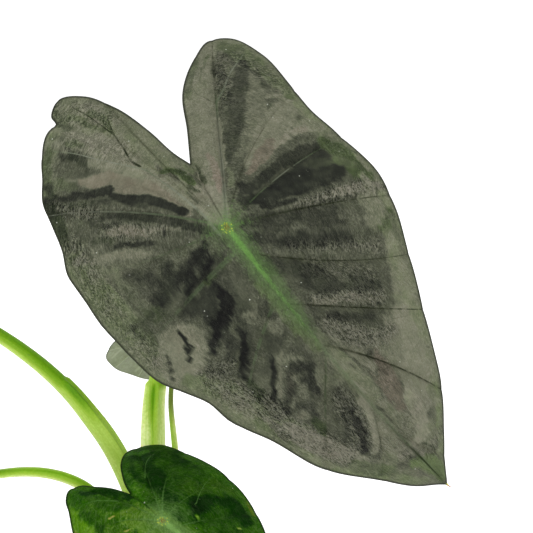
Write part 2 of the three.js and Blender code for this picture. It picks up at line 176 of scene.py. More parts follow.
YOUNG_FORKS = [
    ((0.4, 0.2), (0.4, 0.3, 0.1), [(-30, 14), (-40, 24), (-46, 40)]),
    ((0.4, 0.2), (0.4, 0.3, 0.1), [(-28, -8), (-40, -18), (-46, -28)]),
    ((0.35, 0.2), (0.4, 0.3, 0.1), [(4, 22), (-4, 36), (-8, 50)]),
    ((0.35, 0.2), (0.4, 0.3, 0.1), [(2, -22), (-6, -34), (-10, -46)]),
]

GROWN = {
    "length": 210,
    "midrib_bend": -5.5,
    "right": GROWN_RIGHT,
    "left": GROWN_LEFT,
    "right_veins": GROWN_RIGHT_VEINS,
    "left_veins": GROWN_LEFT_VEINS,
    "forks": GROWN_FORKS,
}
YOUNG = {
    "length": 104,
    "midrib_bend": 1.5,
    "right": YOUNG_RIGHT,
    "left": YOUNG_LEFT,
    "right_veins": YOUNG_RIGHT_VEINS,
    "left_veins": YOUNG_LEFT_VEINS,
    "forks": YOUNG_FORKS,
}

# Light and dark patches on the skin, laid one over another: level from 0, dark, to 1, pale;
# hue from -1, green, to 1, brownish pink; softness of the edge; then points with a radius, in
# millimetres on the flat blade. On the grown blade the pale patches are painted sheen, the
# reflection of the lights on its waxy folds, and the dark ones are painted shade by the veins
# and in the folds.

GROWN_SHEEN_AND_SHADE_STROKES = [
    # Left lobe
    (0.72, -0.25, 2.3, [(-113, -21, 9.9), (-98, -12, 12.1), (-78, -6, 11.7), (-56, -5, 10.3),
        (-34, -4, 5.6)]),
    (0.72, -0.1, 1.7, [(-96, -24, 4.8), (-85, -19, 6.5), (-73, -14, 6.4), (-62, -12, 3.4)]),
    (0.68, 0, 1.4, [(-80, -28, 2.3), (-70, -21, 3.5), (-60, -15, 3.4)]),
    (0.66, -0.3, 1.4, [(-96, 1, 3), (-79, 1, 5.9), (-62, 1, 6.9), (-47, 0, 5.1), (-31, -2, 2.2)]),
    (0.7, 0.1, 1.4, [(-57, -14, 2.3), (-46, -12, 5.1), (-33, -9, 4.5), (-22, -8, 2.8)]),
    (0.66, 0.5, 1.2, [(-83, -46, 1.8), (-74, -39, 2.9), (-65, -29, 6.3), (-58, -26, 6.8),
        (-53, -19, 6.2), (-40, -15, 4.5), (-28, -12, 2.8), (-19, -10, 1.7)]),
    (0.4, -0.6, 1.4, [(-106, -39, 1.8), (-100, -46, 3), (-92, -53, 3), (-88, -56, 3)]),
    (0.44, -0.4, 1.4, [(-86, -50, 4.2), (-78, -45, 3.5)]),
    (0.2, -0.3, 0.9, [(-97, -37, 1.8), (-91, -33, 2.4), (-85, -31, 2.1), (-80, -32, 1.2),
        (-76, -35, 1)]),
    (0.5, -0.5, 1.2, [(-114, -20, 1.9), (-106, -15, 1.8), (-96, -13, 1.8), (-89, -10, 1.2)]),
    (0.46, -0.4, 1.2, [(-100, -30, 1.8), (-96, -26, 1.8), (-91, -25, 1.2)]),
    (0.46, -0.6, 1.2, [(-103, -7, 1.8), (-93, -5, 1.8), (-84, -8, 1.2)]),
    (0.5, 0.2, 1.7, [(-51, -4, 1.7), (-44, -4, 2.8), (-38, -3, 2.3)]),
    (0.7, -0.2, 1.2, [(-42, -5, 1.7), (-31, -5, 2.2), (-21, -5, 1.7)]),
    (0.13, 0, 0.8, [(-84, -62, 3), (-78, -55, 2.4), (-68, -43, 2.3), (-63, -36, 2.9), (-60, -31, 2.3)]),
    (0.1, 0, 0.8, [(-62, -34, 1.1), (-54, -32, 2.5), (-47, -28, 2.6), (-42, -21, 2.8),
        (-34, -17, 2.8), (-22, -11, 2.2)]),
    (0.3, -0.3, 1.2, [(-78, -59, 2.4), (-69, -51, 2.3), (-61, -43, 1.7)]),
    (0.18, -0.6, 1.7, [(-80, -64, 4.2), (-71, -66, 5.3), (-62, -68, 3.5)]),
    (0.36, -0.2, 1.7, [(-66, -57, 2.9), (-56, -58, 4), (-49, -62, 3.5)]),
    (0.16, -0.2, 1.4, [(-54, -48, 2.3), (-45, -37, 2.3), (-29, -24, 2.8), (-7, -10, 2.8)]),
    (0.38, 0, 1.2, [(-62, -51, 1.4), (-55, -47, 2)]),
    (0.7, 0.4, 1.2, [(-43, -49, 1.9), (-39, -43, 3.2), (-33, -38, 3.4), (-28, -34, 1.9)]),
    (0.56, 0.2, 1.2, [(-28, -33, 1.7), (-24, -27, 1.3), (-17, -20, 1)]),
    (0.3, -0.4, 1.7, [(-45, -58, 2.3), (-39, -51, 1.7)]),
    (0.1, 0, 1.2, [(-35, -51, 1.5), (-28, -44, 1.7), (-22, -36, 1.7), (-17, -29, 1.1)]),
    (0.72, 0.15, 1.2, [(-27, 2, 2.8), (-19, 2, 4.5), (-11, 2, 3.3)]),
    (0.3, -1.2, 1.2, [(-47, -4, 1.4), (-44, 0, 1.1), (-39, 2, 1.5)]),
    (0.3, -1.4, 0.9, [(-37, 1, 1.5), (-32, 3, 1.9), (-29, 3, 1.1)]),
    (0.24, -1.2, 0.7, [(-42, 2, 0.8), (-37, 4, 0.8)]),
    (0.2, -0.3, 0.9, [(-36, 11, 0.7), (-29, 9, 1), (-24, 8, 0.8)]),
    # Left side
    (0.24, -0.1, 3.5, [(9, -19, 7.7), (30, -21, 12.1), (55, -24, 12.3), (66, -38, 9)]),
    (0.46, -0.2, 2.9, [(-11, -40, 4.4), (-4, -28, 5.5), (1, -14, 4.4)]),
    (0.38, -0.1, 1.7, [(-22, -33, 2.2), (-14, -29, 2.8), (-8, -20, 2.2)]),
    (0.66, 0.1, 1.4, [(-40, -68, 1.7), (-34, -61, 3.4), (-28, -52, 3.9), (-22, -45, 2.8),
        (-18, -41, 1.7)]),
    (0.4, -0.1, 1.7, [(-14, -42, 3.3), (-7, -41, 3.3), (-7, -35, 2.2)]),
    (0.6, -0.5, 2.9, [(-46, -73, 5.3), (-29, -76, 7.5), (-15, -77, 8.7), (2, -78, 8), (14, -79, 5.1)]),
    (0.6, -0.3, 2.3, [(-33, -69, 3.5), (-25, -65, 4), (-22, -57, 2.8)]),
    (0.42, -0.3, 1.7, [(-20, -63, 3.4), (-10, -63, 4), (-1, -63, 2.8)]),
    (0.2, -0.1, 1.7, [(-20, -59, 1.7), (-14, -55, 2.8), (-8, -50, 3.3), (-1, -50, 3.3), (0, -58, 2.8)]),
    (0.07, 0, 1.4, [(-1, -16, 2.2), (2, -24, 4.4), (3, -34, 5), (3, -44, 3.9), (3, -55, 3.3),
        (4, -65, 2.8)]),
    (0.28, -0.9, 0.9, [(14, -11, 0.9), (15, -27, 1.1), (16, -40, 1.2), (18, -52, 0.9)]),
    (0.02, 0, 1.4, [(8, -21, 2.2), (10, -28, 2.8), (11, -36, 2.8), (10, -42, 1.7)]),
    (0.46, -0.5, 1.7, [(11, -75, 3.4), (19, -74, 3.4), (28, -76, 2.3)]),
    (0.14, 0, 2.3, [(20, -50, 3.3), (20, -42, 5.5), (24, -37, 6.1), (30, -39, 5)]),
    (0.4, -0.1, 2.3, [(16, -14, 2.2), (28, -15, 5), (39, -16, 4.4)]),
    (0.36, -0.2, 1.7, [(20, -12, 2.2), (24, -12, 2.2)]),
    (0.64, 0.2, 0.9, [(27, -65, 8.4), (30, -60, 9.5), (36, -57, 7.3), (42, -66, 7.9)]),
    (0.64, 0, 1.4, [(27, -71, 3.4), (33, -75, 5.1), (41, -77, 5.2)]),
    (0.02, 0, 0.5, [(24, -59, 0.9), (29, -59, 1.3), (34, -60, 1.5), (39, -63, 1.1), (41, -65, 0.6)]),
    (0.62, 0.1, 0.9, [(32, -50, 2.8), (37, -52, 2.2)]),
    (0.12, -0.1, 0.6, [(30, -72, 0.5), (35, -75, 0.8), (39, -77, 1), (43, -79, 0.6)]),
    (0, 0, 1.4, [(19, -28, 2.2), (24, -27, 3.3), (31, -29, 4.1), (35, -35, 4.4), (39, -42, 4.2),
        (42, -48, 2.8), (46, -52, 2)]),
    (0.1, 0, 1.7, [(17, -34, 3.3), (21, -30, 3.3)]),
    (0.14, 0, 0.9, [(22, -31, 0.6), (27, -33, 1), (29, -36, 0.6)]),
    (0.36, -0.1, 1.7, [(48, -48, 2.2), (55, -51, 4.5), (59, -57, 3.4)]),
    (0.4, -0.1, 1.2, [(54, -46, 0.9), (59, -48, 1.3), (62, -52, 0.8)]),
    (0.62, 0.2, 1.2, [(42, -27, 1.4), (45, -22, 1.7)]),
    (0.06, 0, 1.2, [(45, -34, 1.7), (49, -33, 2.2)]),
    (0, 0, 0.7, [(49, -33, 1.9), (55, -38, 2.5), (62, -43, 2.4), (67, -49, 1.7)]),
    # Lower side
    (0.36, -0.1, 2.3, [(53, -26, 3.3), (63, -33, 2.8), (72, -42, 2.8)]),
    (0.6, -0.5, 2, [(48, -72, 4), (58, -66, 5.1), (72, -61, 6.9), (87, -56, 7.5), (103, -51, 7),
        (116, -46, 6.5)]),
    (0.24, -0.5, 1.4, [(73, -48, 2.3), (79, -48, 3.4), (85, -50, 2.9)]),
    (0.56, -0.3, 1.2, [(67, -61, 1.7), (75, -60, 2.3), (82, -58, 2.3)]),
    (0.03, 0, 0.8, [(69, -29, 1), (77, -35, 1.4), (82, -39, 1.5), (88, -44, 1.1)]),
    (0.56, 0.2, 0.9, [(71, -25, 1.2), (81, -33, 1.6), (90, -41, 1.4)]),
    (0.2, 0.3, 1.7, [(83, -28, 2.3), (91, -34, 2.9), (99, -43, 2.9)]),
    (0.3, 0, 2.3, [(76, -17, 4.5), (92, -18, 5.7), (103, -26, 4.6)]),
    (0.46, -0.1, 1.7, [(79, -8, 3.4), (89, -10, 4), (98, -14, 3.5)]),
    (0.5, 0, 1.7, [(52, -21, 2.8), (59, -18, 3.4), (58, -11, 2.2)]),
    (0.58, 0, 0.9, [(75, -26, 0.9), (78, -21, 1.1), (81, -18, 0.8)]),
    (0.14, 0, 1.2, [(82, -25, 2.3), (88, -18, 2.9), (96, -19, 3.4), (102, -23, 2.3), (92, -25, 2.3)]),
    (0.48, 0.1, 1.2, [(95, -26, 1.7), (97, -31, 2.9), (98, -38, 2.3)]),
    (0.5, 0.2, 1.2, [(86, -28, 1), (91, -28, 0.9)]),
    (0.22, 0, 1.2, [(101, -36, 1.7), (105, -31, 2.9), (113, -32, 2.3)]),
    (0.56, 0.2, 1.2, [(105, -38, 1.7), (109, -35, 1.4)]),
    (0.24, -0.8, 1.2, [(114, -34, 2.3), (122, -34, 2.9), (127, -37, 1.8)]),
    (0.5, -0.2, 1.7, [(104, -12, 2.9), (102, -7, 2.3)]),
    (0.78, 0.1, 1.7, [(107, -49, 3.5), (118, -45, 5.3), (134, -38, 6), (144, -33, 5.5),
        (154, -28, 4.3)]),
    (0.76, -0.3, 1.2, [(68, -64, 2.3), (78, -61, 2.9), (89, -58, 2.9)]),
    (0.66, -0.5, 1.7, [(117, -53, 1.4), (131, -48, 1.6), (145, -45, 1.8), (161, -32, 2.5),
        (181, -16, 2.6), (195, -5, 2)]),
    (0.8, -0.2, 0.8, [(93, -55, 0.6), (97, -54, 1.4), (102, -52, 0.9)]),
    (0.84, -0.4, 0.6, [(80, -59, 0.5), (84, -59, 0.9), (87, -59, 0.6)]),
    (0.66, -0.3, 2.3, [(91, -3, 4), (101, -3, 5.2), (113, -2, 5.3), (127, -2, 5.4)]),
    (0.26, 0, 1, [(110, -14, 1.7), (116, -15, 3.5), (123, -17, 4.1), (129, -22, 3), (134, -26, 1.8)]),
    (0.08, 0, 1, [(124, -15, 1.4), (131, -17, 2.4), (140, -19, 2.8), (149, -24, 1.8)]),
    (0.8, -0.1, 1.4, [(123, -7, 2.4), (132, -7, 3.6), (141, -10, 3.6), (149, -14, 3.1),
        (154, -19, 2.5)]),
    (0.4, 0, 0.9, [(116, -18, 0.9), (122, -20, 1.2), (127, -25, 0.8)]),
    (0.4, 0.1, 0.8, [(123, -13, 0.6), (129, -15, 0.8)]),
    (0.66, -0.1, 2.3, [(135, -2, 4.8), (151, -5, 8), (164, -9, 8.2), (166, -19, 5)]),
    (0.3, 0, 0.6, [(133, -2, 0.6), (144, -1, 0.7), (156, 0, 0.6)]),
    (0.86, -0.2, 0.7, [(112, -4, 1.2), (117, -3, 1.4), (122, -3, 1)]),
    # Tip
    (0.64, -0.2, 2.3, [(141, 6, 6.8), (157, 9, 9.5), (174, 6, 8.4)]),
    (0.66, -0.9, 1.4, [(178, -5, 3.2), (183, 1, 5.3), (192, 4, 5.4), (202, 6, 2.8)]),
    (0.72, -0.5, 1.4, [(151, 33, 2.6), (163, 26, 2.6), (174, 19, 2.6), (187, 13, 2.7)]),
    (0.36, -0.3, 0.6, [(170, -1, 0.5), (172, 5, 0.8), (178, 9, 0.8), (183, 10, 0.5)]),
    (0.7, 0, 1.2, [(176, 1, 1.3), (181, 6, 1.3)]),
    # Right side
    (0.66, -0.2, 2.3, [(82, 61, 5.7), (93, 55, 7.5), (105, 50, 8.8)]),
    (0.72, -0.05, 2, [(106, 42, 7.4), (115, 37, 9.9), (126, 32, 11.8), (139, 27, 11.3),
        (150, 20, 8.8)]),
    (0.64, -0.1, 2.3, [(103, 21, 4.8), (114, 23, 7.3), (125, 18, 6.1)]),
    (0.56, 0.7, 2.3, [(109, 14, 4.2), (121, 12, 7.2), (135, 10, 6.1), (144, 8, 3.1)]),
    (0.62, 0, 2.3, [(81, 5, 3.4), (94, 8, 4.7), (105, 13, 3.5)]),
    (0.36, 0.2, 1.4, [(106, 14, 1.8), (112, 11, 2.4), (118, 9, 1.8)]),
    (0.72, -0.3, 2.3, [(59, 72, 3.2), (76, 64, 4.4), (95, 56, 4.4), (114, 49, 3.8), (134, 42, 3.2),
        (149, 35, 2.6)]),
    (0.5, 0, 1.7, [(77, 5, 2.9), (88, 10, 5.2), (97, 17, 5.3), (101, 25, 3)]),
    (0.18, 0, 1.2, [(73, 9, 1.5), (82, 16, 2.3), (88, 23, 2.7), (93, 29, 2.4)]),
    (0.68, 0, 1.4, [(100, 34, 2.4), (106, 32, 3.6), (108, 27, 3)]),
    (0.66, 0.2, 1.2, [(63, 8, 1.7), (69, 16, 2.5), (72, 23, 3.5), (78, 27, 2.9)]),
    (0.54, 0.1, 1.2, [(79, 26, 2.3), (84, 34, 3), (89, 41, 2.4)]),
    (0.2, -0.2, 1.7, [(28, 0, 4.5), (40, 11, 5.1), (56, 21, 5.2), (71, 32, 4.1), (82, 42, 3)]),
    (0.44, 0, 1.4, [(55, 27, 1.7), (60, 29, 2.3), (65, 29, 1.5)]),
    (0.44, -0.1, 1.4, [(58, 36, 2.3), (67, 43, 3.6), (74, 50, 3.7)]),
    (0.46, 0, 1.2, [(29, 10, 0.8), (39, 23, 1.7), (49, 35, 2.3), (61, 49, 2.4), (71, 61, 1.9)]),
    (0.17, 0, 1.4, [(13, 5, 2.8), (25, 17, 4), (38, 33, 4.6), (50, 48, 4.2)]),
    (0.36, -0.2, 1.4, [(52, 54, 2.4), (59, 62, 2.5)]),
    (0.4, -0.7, 1.7, [(59, 80, 2.6), (62, 75, 3.2), (61, 66, 1.9)]),
    (0.22, 0, 1.7, [(5, 10, 3.4), (15, 21, 5.7), (26, 35, 6.4), (38, 52, 6)]),
    (0.42, 0.1, 1.4, [(24, 23, 1.4), (26, 29, 2), (29, 33, 1.7)]),
    (0.44, 0.1, 1.2, [(38, 53, 1.8), (42, 59, 2.7), (47, 61, 1.8)]),
    (0.68, -0.2, 1.7, [(43, 72, 4.4), (50, 74, 6.4), (55, 66, 4.4)]),
    (0.74, -0.4, 1.4, [(49, 83, 3.3), (55, 83, 2.6)]),
    (0.46, 0.1, 0.9, [(16, 35, 1.7), (21, 46, 2.6), (26, 55, 2.7)]),
    (0.7, 0.1, 1, [(27, 60, 2.4), (32, 70, 3.1), (38, 79, 3), (44, 86, 2)]),
    (0.24, 0, 0.6, [(19, 36, 0.7), (26, 48, 0.7), (31, 60, 0.6)]),
    (0.24, 0, 0.8, [(22, 42, 0.8), (29, 55, 1), (35, 67, 0.7)]),
    # Right lobe
    (0.68, -0.1, 1.7, [(-89, 68, 4.7), (-83, 57, 6.5), (-71, 45, 8.1), (-56, 32, 8.3),
        (-41, 21, 7.5), (-27, 14, 5.7), (-14, 8, 3.4)]),
    (0.66, -0.2, 0.7, [(-10, 7, 1.3), (-19, 13, 1.2), (-31, 23, 1.2), (-45, 35, 1.1), (-57, 46, 0.9)]),
    (0.78, 0.6, 1.7, [(-34, 20, 2.3), (-25, 16, 3.4), (-16, 10, 1.7)]),
    (0.5, -0.4, 1.4, [(-86, 56, 2.6), (-79, 46, 2.5), (-70, 36, 1.8)]),
    (0.5, -0.4, 0.8, [(-84, 64, 1.1), (-78, 54, 0.8), (-73, 48, 0.5)]),
    (0.46, -0.5, 1.7, [(-85, 76, 3.4), (-76, 80, 6.2), (-64, 80, 5.4)]),
    (0.56, -0.2, 1.2, [(-73, 69, 2.6), (-65, 64, 1.9)]),
    (0.22, -0.2, 0.7, [(-70, 60, 2.2), (-66, 59, 2.2)]),
    (0.4, -0.3, 1.2, [(-61, 54, 1.9), (-56, 52, 1.2)]),
    (0.58, 0, 1.7, [(-55, 72, 3.9), (-44, 66, 5.7), (-33, 54, 5.5), (-26, 41, 4.1)]),
    (0.68, 0.05, 1.4, [(-29, 80, 5.2), (-26, 69, 8.8), (-23, 56, 8.5), (-20, 44, 5.9), (-17, 33, 2.9)]),
    (0.68, -0.4, 1.7, [(-25, 83, 4), (-14, 84, 5.3), (-4, 86, 3.3)]),
    (0.62, 0.7, 1.4, [(-18, 51, 3.6), (-16, 42, 4.1), (-14, 31, 2.3)]),
    (0.66, -0.2, 0.9, [(-15, 72, 3.8), (-12, 78, 4.5), (-7, 82, 3.3)]),
    (0.54, -0.1, 1, [(-34, 56, 1.5), (-29, 45, 1.8), (-25, 34, 1.7)]),
    (0.24, -0.2, 0.9, [(-67, 77, 2.7), (-58, 66, 4.5), (-50, 55, 5.6), (-40, 44, 4.8),
        (-33, 34, 3.5), (-26, 26, 1.7)]),
    (0.56, -0.3, 1.2, [(-22, 23, 1.7), (-15, 18, 1.7)]),
    (0.56, -0.5, 1.7, [(-56, 83, 3.4), (-47, 83, 4.7), (-34, 83, 3.3)]),
    (0.6, -0.5, 1.2, [(-65, 86, 2.1), (-54, 85, 2), (-40, 84, 2), (-31, 83, 1.3)]),
    (0.15, -0.1, 0.7, [(-8, 22, 2.8), (-4, 33, 5.2), (-1, 48, 8.3), (4, 62, 10.4), (10, 71, 10)]),
    (0.13, 0, 1.2, [(-4, 17, 2.8), (3, 29, 4.6), (9, 46, 5.3), (16, 63, 6.7), (20, 72, 5)]),
    (0.36, -0.9, 2.3, [(1, 78, 3.2), (12, 81, 5.8), (23, 81, 6.5), (33, 82, 5.2)]),
    (0.72, -0.2, 1.2, [(21, 87, 1.3), (28, 87, 2.2), (32, 86, 1.3)]),
    (0.3, -0.4, 1.2, [(-36, 11, 0.8), (-28, 9, 1.2), (-23, 7, 0.8)]),
    (0.95, 0.1, 0.5, [(-33, 9, 0.4), (-28, 7, 0.5), (-24, 6, 0.4)]),
    # More, on every side
    (0.5, -0.6, 1.7, [(35, -9, 2.5), (46, -9, 3.3), (60, -9, 3.4), (71, -8, 3.4), (84, -6, 3.4)]),
    (0.2, -0.1, 1.4, [(51, 9, 2.3), (59, 15, 2.9), (67, 22, 2.3)]),
    (0.68, 0, 1.4, [(99, 5, 2.3), (106, 8, 2.9), (114, 10, 2.4)]),
    (0.74, -0.3, 1.2, [(75, -65, 2.3), (83, -63, 2.9), (91, -61, 2.3)]),
    (0.86, -0.2, 1.7, [(140, 15, 3.1), (155, 14, 4.4), (167, 10, 3.9), (171, -1, 3.2)]),
    (0.3, -0.1, 1.2, [(88, -48, 2.9), (96, -48, 4)]),
    (0.44, 0, 1.2, [(102, -53, 2.3), (110, -52, 2.9)]),
    (0.5, -0.5, 1.7, [(152, -33, 3.7), (163, -26, 4.4), (173, -17, 3.8)]),
    (0.4, -0.5, 1.4, [(-122, -20, 2.5), (-115, -24, 3.1), (-105, -22, 2.4)]),
    (0.2, -0.2, 1.2, [(-54, -53, 1.4), (-47, -48, 1.7), (-44, -43, 1.1)]),
    (0.54, -0.1, 1.4, [(-30, -60, 2.3), (-23, -55, 3.4), (-19, -48, 2.2)]),
    (0.5, -0.3, 1.4, [(-5, -63, 2.3), (1, -62, 2.8)]),
    (0.68, 0, 1.2, [(-70, 56, 1.7), (-55, 43, 2.2), (-39, 32, 2.3), (-26, 22, 2.3)]),
    (0.76, 0, 1.7, [(-22, 8, 2.8), (-17, 6, 3.9), (-7, 4, 3.9)]),
    (0.7, -0.1, 0.9, [(-41, 72, 1.5), (-36, 78, 1.7)]),
    (0.72, 0.3, 1.2, [(-15, 54, 1.8), (-15, 64, 2.5), (-11, 74, 2.5)]),
    (0.06, 0, 2.3, [(1, 34, 2.9), (5, 46, 4.1), (8, 54, 3.6)]),
    (0.1, 0, 1.2, [(5, 23, 1.7), (11, 31, 1.7), (15, 40, 1.2)]),
    (0.14, 0, 1.2, [(-12, 23, 1.7), (-7, 17, 2.3), (-1, 15, 1.7)]),
    (0.46, -0.6, 1.7, [(13, 75, 3.2), (23, 80, 3.2)]),
    (0.76, -0.2, 1.4, [(32, 80, 2.6), (41, 80, 3.2)]),
    (0.56, 0, 1.7, [(-104, -33, 2.4), (-98, -33, 2.4)]),
    (0.18, 0, 1.7, [(42, -40, 2.8), (49, -41, 3.9), (54, -47, 2.8)]),
    (0.26, -0.5, 1.7, [(9, -76, 3.4), (9, -67, 3.9), (9, -59, 3.4)]),
    (0.1, -0.2, 2.3, [(-6, -39, 3.3), (0, -46, 3.9), (6, -53, 3.3)]),
    (0.24, -0.3, 1.7, [(6, 61, 3), (10, 68, 3.7)]),
    (0.3, 0, 0.9, [(-3, 25, 0.9), (-2, 38, 1.4), (-1, 52, 1.4)]),
    (0.52, -0.3, 1.4, [(77, -1, 2.3), (84, -2, 2.9), (89, -5, 2.3)]),
    (0.54, -0.2, 1.4, [(94, -16, 2.9), (103, -18, 2.9)]),
    (0.72, -0.3, 1.4, [(134, -47, 2.4), (144, -44, 2.4)]),
    (0.62, -0.9, 1.2, [(195, 3, 2.7), (203, 3, 2.1)]),
    (0.5, 0, 1.2, [(45, -27, 1.7), (50, -23, 2.2), (54, -22, 1.7)]),
    (0.2, -0.4, 1.4, [(-88, -55, 3), (-83, -56, 2.4)]),
    (0.2, -0.1, 1, [(-60, -41, 1.4), (-55, -36, 1.7)]),
    (0.2, -0.1, 1, [(-43, -27, 1.4), (-39, -23, 1.4)]),
    (0.5, -0.1, 1.4, [(-45, -73, 2.3), (-42, -64, 2.9), (-40, -58, 2.3)]),
    (0.36, -0.1, 1.4, [(-12, -41, 2.2), (-10, -35, 2.2)]),
    (0.72, -0.1, 1.7, [(-61, -18, 2.3), (-54, -13, 2.8)]),
    (0.6, -0.5, 1.2, [(-40, 7, 1.7), (-35, 7, 1.7)]),
    (0.3, -0.4, 0.9, [(-30, 1, 1.1), (-26, 2, 1.1)]),
    (0.8, -0.1, 1.4, [(-19, -3, 2.2), (-9, -3, 2.8), (-2, 2, 2.2)]),
    (0.08, 0, 1.7, [(11, 44, 2.9), (16, 49, 3)]),
    (0.5, -0.3, 1.4, [(61, 79, 2.6), (69, 75, 2.6)]),
    (0.3, 0, 1.2, [(61, 4, 1.7), (71, 5, 2.3)]),
    (0.5, -0.2, 1.2, [(76, -55, 1.7), (81, -53, 1.7)]),
    (0.42, 0, 1.4, [(109, -27, 2.3), (117, -29, 2.9)]),
    (0.56, -0.3, 1.4, [(162, -16, 2.5), (168, -13, 2.5)]),
    (0.64, -0.3, 1.4, [(150, 28, 2.6), (158, 26, 2.6)]),
]

YOUNG_STROKES = [
    (0.2, -0.2, 2.9, [(-49, 18, 6.2), (-49, 34, 6.9), (-34, 42, 8.5), (-17, 50, 6.7)]),
    (0.13, 0, 2.9, [(-47, 29, 6.6), (-34, 27, 7.6), (-22, 18, 7), (-9, 14, 5.2)]),
    (0.26, -0.2, 2.3, [(-33, 31, 4.7), (-19, 28, 4.3), (-13, 19, 3.4)]),
    (0.4, -0.7, 2.3, [(-32, 51, 5.5), (-17, 51, 5.9), (-4, 53, 5.8)]),
    (0.3, -0.8, 1.7, [(-49, 15, 3.1), (-39, 6, 2.8), (-28, 3, 2.7)]),
    (0.42, -1, 1.4, [(-29, 6, 1.4), (-22, 2, 2), (-15, -1, 1.3)]),
    (0.12, -0.3, 1.7, [(-48, -17, 3.4), (-43, -10, 2.7), (-33, -5, 3.3), (-24, -3, 2.6)]),
    (0.32, -0.9, 2.3, [(-51, -21, 3.5), (-38, -17, 2.6)]),
    (0.6, -0.8, 2.3, [(-47, -30, 3.4), (-35, -34, 5.2), (-26, -35, 5.6)]),
    (0.36, 0, 1.7, [(-37, -20, 3.3), (-30, -17, 3.9), (-20, -21, 4.3)]),
    (0.5, 0.3, 2.9, [(-24, -12, 4.4), (-15, -8, 6.2), (-3, -7, 7.3), (5, -2, 7.2), (15, 4, 6)]),
    (0.54, 0.2, 1.7, [(-8, -2, 3.1), (-1, 1, 4.3), (7, 2, 3.6)]),
    (0.44, 0.3, 1.7, [(-17, -24, 3.7), (-9, -19, 3.6)]),
    (0.32, 0.3, 2.9, [(-10, 28, 5.6), (-2, 31, 6.3), (-2, 41, 5.3)]),
    (0.08, 0, 2.3, [(5, 22, 5.2), (6, 29, 5.4), (8, 18, 3.9)]),
    (0.12, -0.4, 2.3, [(10, 38, 5.7), (19, 41, 5.7), (29, 38, 4.8)]),
    (0.36, 0.3, 1.7, [(-5, 39, 3), (0, 48, 3.9), (9, 47, 3)]),
    (0.4, -0.6, 1.7, [(4, 53, 3.2), (14, 53, 3.2)]),
    (0.6, 1, 0.9, [(20, 51, 1.2), (25, 49, 1.5), (29, 47, 1)]),
    (0.7, 1, 0.7, [(-36, -37, 0.8), (-32, -38, 1.1)]),
    (1, 1, 0.4, [(-23, -19, 0.6), (-23, -17, 0.8)]),
    (1, 0.6, 0.4, [(-16, -13, 0.3), (-14, -15, 0.4)]),
    (1, 1, 0.4, [(-9, -19, 0.5), (-8, -17, 0.4)]),
    (1, 1, 0.4, [(-1, 41, 0.7), (1, 39, 0.9)]),
    (1, 1, 0.4, [(4, 40, 0.7), (5, 41, 0.7)]),
    (0.9, 0.4, 0.3, [(13, 49, 0.5), (13, 51, 0.5)]),
    (0.9, 0.4, 0.3, [(11, 16, 0.4), (12, 17, 0.4)]),
    (1, 0.6, 0.3, [(30, 30, 0.4), (32, 31, 0.5)]),
    (0.28, 0, 1.7, [(-43, -17, 2.7), (-28, -14, 3.2), (-21, -7, 2.5)]),
    (0.58, 0.2, 1.7, [(-14, -15, 3.1), (-5, -12, 3.6), (4, -7, 3)]),
    (0.17, -0.2, 2.6, [(-41, 14, 2.6), (-30, 10, 2.6)]),
    (0.34, 0.2, 1.4, [(-1, 36, 2.9), (5, 40, 3.6)]),
    (0.36, -0.8, 0.9, [(-54, 22, 2.5), (-50, 31, 2.5)]),
]

# How finely crinkled the skin is, also laid one over another: strength, softness, points

